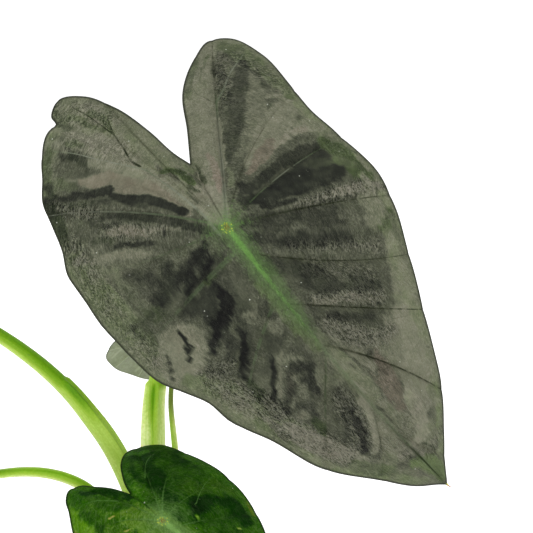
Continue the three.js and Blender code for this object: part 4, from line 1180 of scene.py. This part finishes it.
SOIL_LOOKS = [
    ("peat", srgb(30, 21, 15), srgb(74, 54, 38), 260, 0.0012),
    ("bark", srgb(58, 38, 24), srgb(124, 88, 58), 320, 0.0006, 0.8, 0.25),
    ("perlite", srgb(206, 202, 192), srgb(240, 238, 232), 500, 0.0005, 0.9),
    ("clod", srgb(24, 17, 12), srgb(60, 43, 30), 420, 0.0008),
]


# Draws lines, pale for a tone of 1, grey-green for 0.3 and dark for -1, where the mask is 1.
def draw_lines(g, color, palette, ratio, tone, mask):
    core = g.times(g.step(ratio, 1.3, 0.6), mask)
    body = g.mix(g.step(tone, 0.4, 1), palette["rib"], palette["pale_vein"])
    color = g.over(color, g.times(core, g.step(tone, 0.02, 0.5)), 0.62, body)
    return g.over(color, g.times(core, g.step(tone, -0.05, -0.9)), 0.85, palette["dark_vein"])


# The textures that the parts of the upper skin share. Crumple and ridge run across the panels,
# as the fine wrinkles do, and active says how strongly they show.
def skin_textures(g):
    flat, grain, rough = g.place("flat"), g.place("grain"), g.field("rough")
    wavy = g.noise(g.scaled(grain, (0.34, 0.13, 1)), 1, 3, 0.55, 2.0)
    shown = g.plus(g.times(g.step(g.field("level"), 0, 0.45), 0.75), 0.25)
    return SimpleNamespace(
        flat=flat,
        rough=rough,
        streak=g.noise(g.scaled(grain, (0.8, 0.2, 1)), 1, 3, 0.6),
        fine=g.noise(flat, 0.8, 3, 0.6),
        cloud=g.noise(flat, 0.2, 4, 0.6, 0.4),
        crumple=g.noise(g.scaled(grain, (0.62, 0.26, 1)), 1, 4, 0.6, 2.2),
        ridge=g.step(g.math("ABSOLUTE", g.math("SUBTRACT", wavy, 0.52)), 0.05, 0.008),
        shown=shown,
        active=g.times(rough, shown),
    )


# The light and dark zones, with their grain and tint. The zones are mostly painted sheen and painted
# shade, and the crumple and ridge marks paint highlights and shade on the fine wrinkles.
def skin_color(g, t, palette):
    level = g.vary(g.field("level"), t.streak, g.plus(g.times(t.active, 0.4), 0.05))
    level = g.vary(level, t.fine, g.plus(g.times(t.active, 0.5), g.times(t.shown, 0.14)))
    level = g.vary(level, t.cloud, g.times(t.shown, 0.36))
    # Painted highlights and painted shade on the fine wrinkles, and the crinkled zones painted lighter
    # overall
    level = g.vary(level, g.step(t.crumple, 0.37, 0.62), g.times(t.active, 0.62))
    level = g.vary(level, t.ridge, g.times(t.active, 0.4))
    level = g.plus(level, g.times(t.active, 0.14))
    color = g.ramp(level, palette["levels"])
    hue = g.vary(g.field("hue"), g.noise(t.flat, 0.11, 3), 0.8)
    color = g.over(color, g.step(hue, 0, -1), 0.8, g.mix(1.0, color, palette["green"], "MULTIPLY"))
    color = g.over(color, g.step(hue, 0, 1), 0.8, g.mix(1.0, color, palette["warm"], "MULTIPLY"))
    # Painted glints on the crests of the fine wrinkles
    spark = g.times(g.step(t.crumple, 0.57, 0.66), g.step(t.cloud, 0.4, 0.58))
    painted_glints = g.times(g.math("MAXIMUM", spark, t.ridge), t.active)
    return g.over(color, painted_glints, 0.4, palette["spark"])


# Veins, branches, and the bright midrib with its haze
def skin_lines(g, t, palette, color):
    broken = g.step(g.noise(t.flat, 0.16, 4, 0.7), 0.34, 0.56)
    color = draw_lines(g, color, palette, g.field("vein"), g.field("tone"), broken)
    ratio = g.math("ABSOLUTE", g.field("branch"))
    near = g.times(g.step(g.field("branch_near"), 2.6, 1.4), g.plus(broken, 0.3))
    color = draw_lines(g, color, palette, ratio, g.field("branch_tone"), near)
    haze = g.step(g.vary(g.vary(g.field("halo"), t.cloud, 1.1), t.crumple, 1.5), 0.1, 1.1)
    haze = g.times(haze, g.step(g.field("halo"), 0, 0.2))
    color = g.over(color, haze, 0.5, palette["halo"])
    spine = g.times(g.field("spine"), g.step(t.fine, 0.3, 0.6))
    color = g.over(color, spine, 0.7, palette["spine"])
    lit = g.step(g.vary(g.field("glow"), t.crumple, 1.4), 0.12, 1.0)
    lit = g.times(lit, g.step(g.field("glow"), 0, 0.12))
    return g.over(color, lit, 0.92, palette["glow"])


# Water spots, dust, the scar over the stalk and the dark rim
def skin_spots(g, t, palette, color):
    spot = g.step(g.vary(g.cells(t.flat, 0.115), t.fine, 0.09), 0.052, 0.03)
    some = g.step(g.noise(t.flat, 0.03, 2), 0.36, 0.56)
    color = g.over(color, g.times(spot, some), 0.85, WATER_SPOT)
    fleck = g.step(g.vary(g.cells(t.flat, 0.42), t.fine, 0.2), 0.13, 0.06)
    some = g.step(g.noise(t.flat, 0.05, 3), 0.5, 0.7)
    color = g.over(color, g.times(fleck, some), 0.5, palette["spark"])
    bud = g.times(g.field("scar"), g.step(g.cells(t.flat, 0.8), 0.52, 0.2))
    color = g.mix(g.step(bud, 0.12, 0.4), color, SCAR_GREEN)
    heart = g.times(g.step(g.field("away"), 2.6, 1.2), g.step(t.crumple, 0.4, 0.56))
    color = g.over(color, heart, 0.8, SCAR_BROWN)
    return g.over(color, g.step(g.field("edge"), 1.7, 0.6), 0.9, palette["rim"])


def skin_bumps(g, t):
    net = g.cells(t.flat, 0.9, "DISTANCE_TO_EDGE")
    wrinkle = g.noise(g.scaled(t.flat, (0.34, 0.34, 1)), 1, 6, 0.7)
    relief = g.bump(g.step(net, 0, 0.16), 0.00006, 0.6)
    relief = g.bump(t.streak, 0.0008, 0.6, relief)
    relief = g.bump(g.times(t.crumple, t.rough), 0.003, 1.0, relief)
    relief = g.bump(g.times(t.ridge, t.rough), 0.0004, 0.8, relief)
    return g.bump(wrinkle, 0.0018, 0.7, relief)


# Waxy upper skin with its patches of painted sheen and painted shade, veins, glow, specks and fine
# wrinkles
def upper_skin(name, palette, gloss, shine):
    g = Graph(name)
    t = skin_textures(g)
    color = skin_color(g, t, palette)
    color = skin_lines(g, t, palette, color)
    color = skin_spots(g, t, palette, color)
    return g.finish(color, g.plus(gloss, g.times(t.fine, 0.16)), skin_bumps(g, t), shine)


# Pale underside with raised ribs and a fine net
def under_skin(name, color, deep, pale):
    g = Graph(name)
    flat = g.place("flat")
    cloudy = g.plus(g.times(g.noise(flat, 0.5, 5, 0.6), 0.5), g.times(g.noise(flat, 0.07, 3), 0.7))
    base = g.mix(g.step(cloudy, 0.35, 0.85), deep, color)
    net = g.cells(flat, 0.34, "DISTANCE_TO_EDGE")
    base = g.mix(g.times(g.step(net, 0.09, 0.02), 0.35), base, deep)
    base = g.mix(g.times(g.step(g.field("vein"), 3.2, 0.9), 0.8), base, pale)
    base = g.mix(g.times(g.step(g.field("branch_near"), 1.3, 0.4), 0.6), base, pale)
    base = g.mix(g.step(g.field("mid"), 3.4, 1.4), base, pale)
    base = g.mix(g.step(g.field("away"), 14, 4), base, pale)
    base = g.mix(g.step(g.field("edge"), 1.1, 0.3), base, deep)
    relief = g.bump(g.step(net, 0.02, 0.12), 0.00012, 0.6)
    relief = g.bump(g.noise(flat, 0.3, 5, 0.65), 0.0012, 0.6, relief)
    return g.finish(base, 0.46, relief, 0.3)


# Fleshy stalk: deep green on the grooved side, pale on the outer one, with painted shade in the groove
# and painted light on its shaded sides, and fine fibres
def stalk_skin():
    g = Graph("stalk_skin")
    grain = g.place("grain")
    fibre = g.noise(g.scaled(grain, (1.9, 0.02, 1)), 1, 4, 0.6)
    cloud = g.noise(g.scaled(grain, (0.3, 0.035, 1)), 1, 3)
    speckle = g.noise(g.scaled(grain, (1, 0.6, 1)), 1.1, 3, 0.6)
    tone = g.vary(g.vary(g.vary(g.field("tone"), fibre, 0.3), cloud, 0.22), speckle, 0.34)
    color = g.ramp(tone, STALK_GREENS)
    color = g.mix(g.field("blush"), color, srgb(92, 106, 40))
    color = g.mix(g.field("wet"), color, srgb(150, 164, 84))
    mark = g.times(g.step(g.cells(g.scaled(grain, (1, 0.35, 1)), 0.16), 0.09, 0.04), 0.5)
    color = g.mix(mark, color, srgb(104, 140, 48))
    relief = g.bump(fibre, 0.0005, 0.6)
    relief = g.bump(g.noise(g.scaled(grain, (0.5, 0.1, 1)), 1, 3), 0.0008, 0.4, relief)
    return g.finish(color, g.plus(0.34, g.times(cloud, 0.2)), relief, 0.14, subsurface=0.1)


def tip_skin():
    g = Graph("dry_tip")
    rough = g.noise(g.object_place(), 900, 3)
    color = g.ramp(g.vary(g.field("way"), rough, 0.2), TIP_COLORS)
    return g.finish(color, 0.6, g.bump(rough, 0.0002, 0.5), 0.25)


# Moulded plastic of a nursery pot: fine grain, faint flow lines, scuffs and some dust
def pot_plastic():
    g = Graph("pot_plastic")
    spot = g.object_place()
    grain = g.noise(spot, 900, 3, 0.7)
    flow = g.noise(g.scaled(spot, (6, 6, 120)), 1, 3)
    scuff = g.step(g.noise(g.scaled(spot, (40, 40, 9)), 1, 6, 0.75), 0.6, 0.78)
    height = g.node("ShaderNodeSeparateXYZ", Vector=spot).outputs["Z"]
    low = g.step(height, 0.03, 0.0)
    high = g.step(height, 0.114, 0.142)
    dusty = g.step(g.noise(spot, 70, 5, 0.7), 0.4, 0.75)
    dust = g.times(g.plus(g.times(low, 0.7), high), dusty)
    color = g.mix(g.times(flow, 0.5), srgb(40, 40, 42), srgb(56, 56, 58))
    color = g.mix(g.times(scuff, 0.35), color, srgb(84, 83, 80))
    color = g.mix(g.times(dust, 0.35), color, srgb(120, 106, 88))
    relief = g.bump(flow, 0.0003, 0.3, g.bump(grain, 0.00012, 0.5))
    return g.finish(color, g.plus(0.42, g.times(g.plus(scuff, dust), 0.2)), relief, 0.45)


# Peat, bark or white grains, with painted shade in their hollows, where the same noise sinks the bump,
# and lighter where the fine noise rises
def crumbs(name, dark, light, scale, depth, rough=0.95, specular=0.15):
    g = Graph(name)
    spot = g.object_place()
    coarse = g.noise(spot, scale, 5, 0.7)
    fine = g.noise(spot, scale * 6, 4, 0.7)
    # Painted shade where the coarse bump sinks; lighter where the fine bump rises
    color = g.mix(g.step(coarse, 0.3, 0.7), dark, light)
    color = g.mix(g.times(g.step(fine, 0.55, 0.8), 0.4), color, light)
    relief = g.bump(coarse, depth, 0.8, g.bump(fine, depth * 0.4, 0.8))
    return g.finish(color, rough, relief, specular)


# Meshes

# An object of a mesh, with a value or a place a point for each field that its materials read
def build(name, points, faces, fields, materials, face_materials=None, weld=0.0):
    mesh = bpy.data.meshes.new(name)
    mesh.from_pydata(points.tolist(), [], faces if isinstance(faces, list) else faces.tolist())
    for material in materials:
        mesh.materials.append(material)
    if face_materials is not None:
        mesh.polygons.foreach_set("material_index", np.asarray(face_materials, np.int32))
    for key, values in fields.items():
        values = np.asarray(values, np.float32)
        if values.ndim == 2:
            places = mesh.attributes.new(key, "FLOAT_VECTOR", "POINT")
            places.data.foreach_set("vector", values.ravel())
        else:
            mesh.attributes.new(key, "FLOAT", "POINT").data.foreach_set("value", values)
    if weld:
        form = bmesh.new()
        form.from_mesh(mesh)
        bmesh.ops.remove_doubles(form, verts=form.verts, dist=weld)
        bmesh.ops.dissolve_degenerate(form, edges=form.edges, dist=weld)
        form.to_mesh(mesh)
        form.free()
    mesh.validate()
    mesh.shade_smooth()
    thing = bpy.data.objects.new(name, mesh)
    bpy.context.scene.collection.objects.link(thing)
    return thing


# Faces between the rows of a grid of points
def grid_faces(index, flip):
    p, q, r, s = index[:-1, :-1], index[:-1, 1:], index[1:, 1:], index[1:, :-1]
    order = (p, s, r, q) if flip else (p, q, r, s)
    return np.stack(order, axis=-1).reshape(-1, 4)


# Numbers of the points of a grid whose rows close to rings
def ring_index(rows, columns):
    index = np.arange(rows * columns).reshape(rows, columns)
    return np.concatenate([index, index[:, :1]], axis=1)


def stand_in(thing, node):
    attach(thing, "root")
    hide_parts(node)


# Blades

# Folds, creases and buckles of the skin, in millimetres along its normal
def wrinkles(leaf, flat, p, along, near, marks):
    seed = leaf["seed"]
    edge = marks["edge"]
    inside = smooth(0, 6, edge) * smooth(2, 8, marks["mid"])
    fold = noise(along / 9 + 3, near / 16 + seed, seed) - 0.5
    crinkle = noise(p[..., 0] / 5, p[..., 1] / 5, seed + 1) - 0.5
    crumple = marks["rough"] * (noise(p[..., 0] / 3.6, p[..., 1] / 3.6, seed + 2) - 0.5)
    relief = -0.55 * flat["scale"] * marks["crease"] * smooth(0, 4, edge)
    relief = relief + inside * flat["scale"] * (0.9 * fold + 0.4 * crinkle + 0.6 * crumple)
    for a, b, long, wide, direction, lift in leaf.get("buckles", []):
        c, d = math.cos(math.radians(direction)), math.sin(math.radians(direction))
        x, y = p[..., 0] - a, p[..., 1] - b
        relief = relief + lift * inside * bump(x * c + y * d, long) * bump(y * c - x * d, wide)
    return relief


# Depth of the underside below the skin: the sheet, the keel under the midrib and the ribs
def sheet_depth(leaf, flat, p, marks):
    aside = np.abs(p[..., 1] - midrib_at(flat, p[..., 0]))
    off = np.where(p[..., 0] < 0, marks["away"], aside)
    keel = leaf["keel"] * bump(off, 3) * (1 - 0.85 * np.maximum(0, p[..., 0]) / flat["length"])
    rib = 0.9 * flat["scale"] * marks["crease"] * smooth(0, 8, marks["edge"])
    return leaf["thickness"] * (1 - 0.4 * smooth(6, 0, marks["edge"])) + keel + rib


# Points of one half of a blade, above and below, and the marks on its skin. The underside has
# half the columns.
def blade_half(name, leaf, flat, half):
    s, m, phase, bow, inner, outer = fine_rows(leaf, flat, half)
    t = np.linspace(0, 1, leaf["columns"] + 1)
    p = flat_points(flat, half, s, m, bow, t)
    span = length_of(p[:, -1] - p[:, 0])[:, None]
    along = t[None, :] * span
    near = np.minimum(phase, 1 - phase) * ((1 - t) * inner + t * outer)
    marks = skin_marks(name, flat, p, along, near)
    height = skin_rise(leaf, half, s, phase, inner, outer, span, t)
    height = height + wrinkles(leaf, flat, p, along, near, marks)
    top = bent(leaf, p, height)
    under = bent(leaf, p, height - sheet_depth(leaf, flat, p, marks))[:, ::2]
    del marks["crease"]
    marks["flat"] = np.concatenate([p, np.zeros_like(p[..., :1])], axis=-1)
    marks["grain"] = np.stack([along, near, 0.05 * p[..., 0]], axis=-1)
    return top, under, marks


def blade(name, leaf, materials):
    flat = sized(leaf)
    points, faces, kinds, fields = [], [], [], {}
    count = 0
    for half in flat["halves"]:
        top, under, marks = blade_half(name, leaf, flat, half)
        rows, columns = top.shape[:2]
        top_index = count + np.arange(rows * columns).reshape(rows, columns)
        count += rows * columns
        under_index = count + np.arange(rows * under.shape[1]).reshape(rows, -1)
        count += rows * under.shape[1]
        rim = np.stack([top_index[:, -1], under_index[:, -1]], axis=1)
        flip = half["hand"] > 0
        sides = ((top_index, flip, UPPER), (under_index, not flip, LOWER), (rim, flip, UPPER))
        for index, turned, kind in sides:
            made = grid_faces(index, turned)
            faces.append(made)
            kinds.append(np.full(len(made), kind))
        points.extend([top.reshape(-1, 3), under.reshape(-1, 3)])
        for key, values in marks.items():
            both = [v.reshape(-1, *values.shape[2:]) for v in (values, values[:, ::2])]
            fields.setdefault(key, []).extend(both)
    thing = build(
        f"leaf_{name}", np.concatenate(points) / 1000, np.concatenate(faces),
        {key: np.concatenate(values) for key, values in fields.items()},
        materials, np.concatenate(kinds), weld=2e-6,
    )
    thing.data.set_sharp_from_angle(angle=math.radians(55))
    return thing


# The dry, reddish point at the tip of a blade, bent up a little
def tip_point(name, leaf, material):
    flat = sized(leaf)
    end = flat["halves"][0]["margin"][-1]
    size = 0.5 + 0.5 * flat["scale"]
    points = []
    for i in range(TIP_RINGS):
        f = i / (TIP_RINGS - 1)
        radius = TIP_RADIUS * size * (1 - f) ** 0.8 + TIP_END_RADIUS
        for j in range(TIP_SIDES):
            angle = 2 * math.pi * j / TIP_SIDES
            along = end[0] - TIP_OVERLAP + TIP_LENGTH * size * f
            across = end[1] + radius * math.cos(angle) + 1.2 * f * f
            height = -0.5 + 0.8 * radius * math.sin(angle) + 0.9 * f * f
            points.append(bent(leaf, np.array([along, across]), height))
    closed = ring_index(TIP_RINGS, TIP_SIDES)
    faces = grid_faces(closed, False).tolist() + [closed[-1, :-1].tolist()]
    tint = np.repeat(np.linspace(0, 1, TIP_RINGS), TIP_SIDES)
    return build(f"tip_{name}", np.array(points) / 1000, faces, {"way": tint}, [material])


# Stalks

# Middle line of a stalk from its root to its blade: places from 0 to 1, its length, points and
# directions. The rings are closer where the sheath ends.
def stalk_centres(leaf):
    up = blade_axes(leaf["turn"])[2]
    at = np.array(leaf["at"], float)
    path = [(*leaf["route"][0], SOIL_TOP + z) for z in (-ROOT_DEPTH, -4, 6)]
    path.extend(leaf["route"][1:])
    reach = leaf["thickness"] + leaf["keel"] + STALK_GAP
    path.append(tuple(at - up * (reach + 4 * leaf["stalk_top"])))
    path.append(tuple(at - up * reach))
    samples = spline(np.array(path), np.linspace(0, len(path) - 1, 600))
    run = np.concatenate([[0], np.cumsum(length_of(np.diff(samples, axis=0)))])
    end = leaf["sheath_end"]
    shoulder = np.linspace(end - 0.03, end + 0.01, 24)
    u = np.unique(np.concatenate([np.linspace(0, 1, STALK_RINGS + 1), shoulder]))
    centres = np.stack([np.interp(u * run[-1], run, samples[:, k]) for k in range(3)], axis=1)
    ahead = np.gradient(centres, u, axis=0)
    return u, run[-1], centres, ahead / length_of(ahead)[:, None]


# Radius of a stalk round its section: two sheath wings beside the groove, up to the shoulder
def stalk_section(leaf, way, angle, radius, length):
    top, end = leaf["stalk_top"], leaf["sheath_end"]
    risen = smooth(ROOT_DEPTH + 3, ROOT_DEPTH + 16, way * length)
    sheath = risen * (1 - smooth(end - 0.014, end, way)) * (1 - 0.3 * smooth(end - 0.12, end, way))
    wings = 0.5 * bump(np.abs(angle) - 0.8, 0.32) - 0.42 * bump(angle, 0.4)
    groove = -0.08 * bump(angle, 0.5) * risen
    flare = 0.55 * smooth(length - 2.4 * top, length, way * length)
    ribs = 0.012 * np.sin(14 * angle + 2 * way) * risen
    return radius * (1 + sheath * wings + (1 - sheath) * groove + flare + ribs)


# How green a stalk is, with its painted shade and painted light, at each place and angle in degrees
def stalk_tone(name, leaf, way, degrees):
    def around(tones):
        return np.interp(degrees, *zip(*tones), period=360)

    end = leaf["sheath_end"]
    upper = around(STALK_TONES[name])
    lower = around(LOW_TONES[name]) if name in LOW_TONES else 0.45 * upper
    bare = around(BARE_TONES.get(name, STALK_TONES[name]))
    sheathed = lower + (upper - lower) * smooth(end - 0.12, end - 0.03, way)
    return bare + (sheathed - bare) * (1 - smooth(end - 0.02, end, way))


def stalk(name, leaf, material):
    u, length, centres, ahead = stalk_centres(leaf)
    facing = np.array(leaf["facing"], float)
    front = facing - ahead * (ahead @ facing)[:, None]
    front /= length_of(front)[:, None]
    aside = np.cross(ahead, front)
    angle = np.linspace(-np.pi, np.pi, STALK_SIDES, endpoint=False)[None, :]
    way = u[:, None]
    radius = leaf["stalk_top"] + (leaf["stalk_base"] - leaf["stalk_top"]) * (1 - way) ** 1.15
    r = stalk_section(leaf, way, angle, radius, length)
    points = (
        centres[:, None, :]
        + front[:, None, :] * (r * np.cos(angle))[..., None]
        + aside[:, None, :] * (r * np.sin(angle))[..., None]
    )
    points[-1] += blade_axes(leaf["turn"])[2] * (STALK_GAP + 0.5 * leaf["keel"])
    closed = ring_index(len(u), STALK_SIDES)
    faces = grid_faces(closed, False).tolist()
    faces.append(closed[0, -2::-1].tolist())
    faces.append(closed[-1, :-1].tolist())
    tone = stalk_tone(name, leaf, way, np.degrees(angle))
    even = 0 * tone
    blush = 0.85 * smooth(0.66, 0.78, way) if name == "back" else 0
    wet = 0.7 * (1 - smooth(ROOT_DEPTH, ROOT_DEPTH + 14, way * length))
    grain = np.stack([angle * radius, way * length + even, even + leaf["seed"]], axis=-1)
    fields = {
        "tone": tone.ravel(), "blush": (blush + even).ravel(), "wet": (wet + even).ravel(),
        "grain": grain.reshape(-1, 3),
    }
    thing = build(f"stem_{name}", points.reshape(-1, 3) / 1000, faces, fields, [material])
    thing.data.set_sharp_from_angle(angle=math.radians(50))
    return thing


# Pot and soil

def pot_radius(z):
    return POT_BASE_RADIUS + (POT_TOP_RADIUS - POT_BASE_RADIUS) * z / POT_HEIGHT


def arc(r, z, radius, start, end, count=6):
    turns = np.radians(np.linspace(start, end, count))
    return [(r + radius * math.cos(a), z + radius * math.sin(a)) for a in turns]


# A turned shell: up its outside, over the rolled rim and down its inside
def pot(material):
    foot = POT_HEIGHT - RIM_HEIGHT
    rim = POT_TOP_RADIUS + RIM_OVERHANG
    outline = np.array([
        (0, POT_RECESS), (POT_BASE_RADIUS - 7, POT_RECESS), (POT_BASE_RADIUS - 6, 0),
        *arc(POT_BASE_RADIUS - 1.5, 1.6, 1.6, -90, -8),
        *[(pot_radius(z), z) for z in (6, 20, 40, 60, 80, 100, 118)],
        (pot_radius(foot) - 0.2, foot - 1.5), *arc(rim - 1.7, foot + 1.4, 0.9, -90, -10, 5),
        (rim - 0.4, foot + 6), *arc(rim - 1.2, POT_HEIGHT - 1.2, 1.2, 0, 180, 9),
        (rim - 2.6, foot + 4), (pot_radius(foot) - POT_WALL, foot - 2),
        (pot_radius(60) - POT_WALL, 60), (pot_radius(POT_FLOOR) - POT_WALL, POT_FLOOR),
        (0, POT_FLOOR),
    ])
    turn = np.linspace(0, 2 * np.pi, POT_SIDES, endpoint=False)
    r, z = outline[:, :1], outline[:, 1:]
    points = np.stack([r * np.cos(turn), r * np.sin(turn), z + 0 * turn], axis=-1)
    faces = grid_faces(ring_index(len(outline), POT_SIDES), True)
    points = points.reshape(-1, 3) / 1000
    thing = build("nursery_pot", points, faces, {}, [material], weld=1e-6)
    thing.data.set_sharp_from_angle(angle=math.radians(50))
    return thing


# Crowned, uneven and heaped a little round each stalk
def soil_height(x, y):
    r = np.hypot(x, y) / pot_radius(SOIL_TOP)
    z = SOIL_TOP - 1 + 1.5 * (1 - r * r)
    z = z + 1.5 * (noise(x / 14, y / 14, 51) - 0.5) + 1.3 * (noise(x / 4, y / 4, 52) - 0.5)
    z = z + 0.9 * (noise(x / 1.7, y / 1.7, 53) - 0.5)
    for leaf in LEAVES.values():
        fx, fy = leaf["route"][0]
        z = z + 1.3 * np.exp(-np.maximum(0, np.hypot(x - fx, y - fy) - leaf["stalk_base"]) / 5)
    return z


def in_stalk(x, y, size):
    return any(
        math.hypot(x - leaf["route"][0][0], y - leaf["route"][0][1]) < leaf["stalk_base"] + size
        for leaf in LEAVES.values()
    )


def unit_ball():
    form = bmesh.new()
    bmesh.ops.create_icosphere(form, subdivisions=2, radius=1)
    points = np.array([v.co for v in form.verts])
    faces = np.array([[v.index for v in face.verts] for face in form.faces])
    form.free()
    return points, faces


# A ball made rough, flat and turned at random, sunk into the soil at x, y
def grain(draw, ball, x, y, small, large, flatness):
    size = small + (large - small) * draw.random() ** 2
    scale = size * np.array([1, 0.55 + 0.45 * draw.random(), flatness])
    lump = ball * (1 + 0.35 * (draw.random((len(ball), 1)) - 0.5)) * scale
    spin = Matrix.Rotation(2 * math.pi * draw.random(), 3, "Z")
    tilt = Matrix.Rotation(0.7 * (draw.random() - 0.5), 3, "X")
    z = float(soil_height(np.array(x), np.array(y))) + 0.25 * scale[2]
    return lump @ np.array(spin @ tilt).T + (x, y, z)


# Peat with bark and white grains pressed into it, fused in one piece
def soil(materials):
    radius = pot_radius(SOIL_TOP) - POT_WALL - SOIL_GAP
    f = np.linspace(0, 1, SOIL_RINGS)[:, None]
    turn = np.linspace(0, 2 * np.pi, SOIL_SIDES, endpoint=False)[None, :]
    x, y = radius * f * np.cos(turn), radius * f * np.sin(turn)
    top = np.stack([x, y, soil_height(x, y)], axis=-1)
    wall = top[-1:] * (0.985, 0.985, 1) - (0, 0, SOIL_WALL)
    points = [np.concatenate([top, wall]).reshape(-1, 3)]
    closed = ring_index(SOIL_RINGS + 1, SOIL_SIDES)
    faces = grid_faces(closed, False).tolist()
    faces.append(closed[-1, -2::-1].tolist())
    kinds = [0] * len(faces)
    draw = np.random.default_rng(GRAIN_SEED)
    ball, ball_faces = unit_ball()
    start = len(points[0])
    for kind, number, small, large, flatness in GRAINS:
        for _ in range(number):
            reach = (radius - 3) * math.sqrt(draw.random())
            angle = 2 * math.pi * draw.random()
            x, y = reach * math.cos(angle), reach * math.sin(angle)
            if in_stalk(x, y, large):
                continue
            points.append(grain(draw, ball, x, y, small, large, flatness))
            faces.extend((ball_faces + start).tolist())
            kinds.extend([kind] * len(ball_faces))
            start += len(ball)
    thing = build("potting_mix", np.concatenate(points) / 1000, faces, {}, materials, kinds)
    thing.data.set_sharp_from_angle(angle=math.radians(60))
    return thing


# Stage, light and camera

def stage():
    mesh = bpy.data.meshes.new("floor")
    corners = [(x * FLOOR_REACH, y * FLOOR_REACH, 0) for x, y in ((-1, -1), (1, -1), (1, 1), (-1, 1))]
    mesh.from_pydata(corners, [], [(0, 1, 2, 3)])
    floor = bpy.data.objects.new("floor", mesh)
    bpy.context.scene.collection.objects.link(floor)
    g = Graph("pale_floor")
    shader = g.node("ShaderNodeBsdfPrincipled")
    shader.inputs["Base Color"].default_value = (0.86, 0.86, 0.86, 1)
    shader.inputs["Roughness"].default_value = 0.9
    shader.inputs["Specular IOR Level"].default_value = 0
    shader.inputs["Emission Color"].default_value = (1, 1, 1, 1)
    shader.inputs["Emission Strength"].default_value = 0.5
    g.put(g.out.inputs["Surface"], shader.outputs["BSDF"])
    mesh.materials.append(g.material)


def softbox(name, at, size, power):
    light = bpy.data.lights.new(name, "AREA")
    light.shape = "SQUARE"
    light.size = size
    light.energy = power
    lamp = bpy.data.objects.new(name, light)
    lamp.location = at
    lamp.rotation_euler = (Vector(LIT_SPOT) - Vector(at)).to_track_quat("-Z", "Y").to_euler()
    bpy.context.scene.collection.objects.link(lamp)


def lights():
    world = bpy.data.worlds.new("studio")
    bpy.context.scene.world = world
    world.use_nodes = True
    back = world.node_tree.nodes["Background"]
    back.inputs["Color"].default_value = (1, 1, 1, 1)
    back.inputs["Strength"].default_value = SKY_STRENGTH
    for name, at, size, power in SOFTBOXES:
        softbox(name, at, size, power)


def camera():
    data = bpy.data.cameras.new("camera")
    data.lens = LENS
    data.sensor_width = SENSOR_WIDTH
    data.sensor_fit = "HORIZONTAL"
    data.clip_end = 60
    lift = math.radians(ELEVATION)
    x, y, z = TARGET
    thing = bpy.data.objects.new("camera", data)
    thing.location = (x, y - DISTANCE * math.cos(lift), z + DISTANCE * math.sin(lift))
    thing.rotation_euler = (math.radians(90) - lift, 0, 0)
    bpy.context.scene.collection.objects.link(thing)
    bpy.context.scene.camera = thing
    bpy.context.scene.view_settings.view_transform = "Standard"


def main():
    camera()
    lights()
    stage()
    dark = (
        upper_skin("dark_blade_skin", DARK_LEAF, 0.4, 0.13),
        under_skin("dark_blade_under", *DULL_GREENS),
    )
    green = (
        upper_skin("green_blade_skin", GREEN_LEAF, 0.46, 0.02),
        under_skin("green_blade_under", *PALE_GREENS),
    )
    flesh, dry = stalk_skin(), tip_skin()
    for name, leaf in LEAVES.items():
        grown = leaf["shape"] is GROWN
        stand_in(blade(name, leaf, dark if grown else green), f"blade_{name}")
        stand_in(stalk(name, leaf, flesh), f"stalk_{name}")
        point = tip_point(name, leaf, dry)
        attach(point, "root")
    stand_in(pot(pot_plastic()), "pot")
    stand_in(soil([crumbs(*row) for row in SOIL_LOOKS]), "soil")


main()
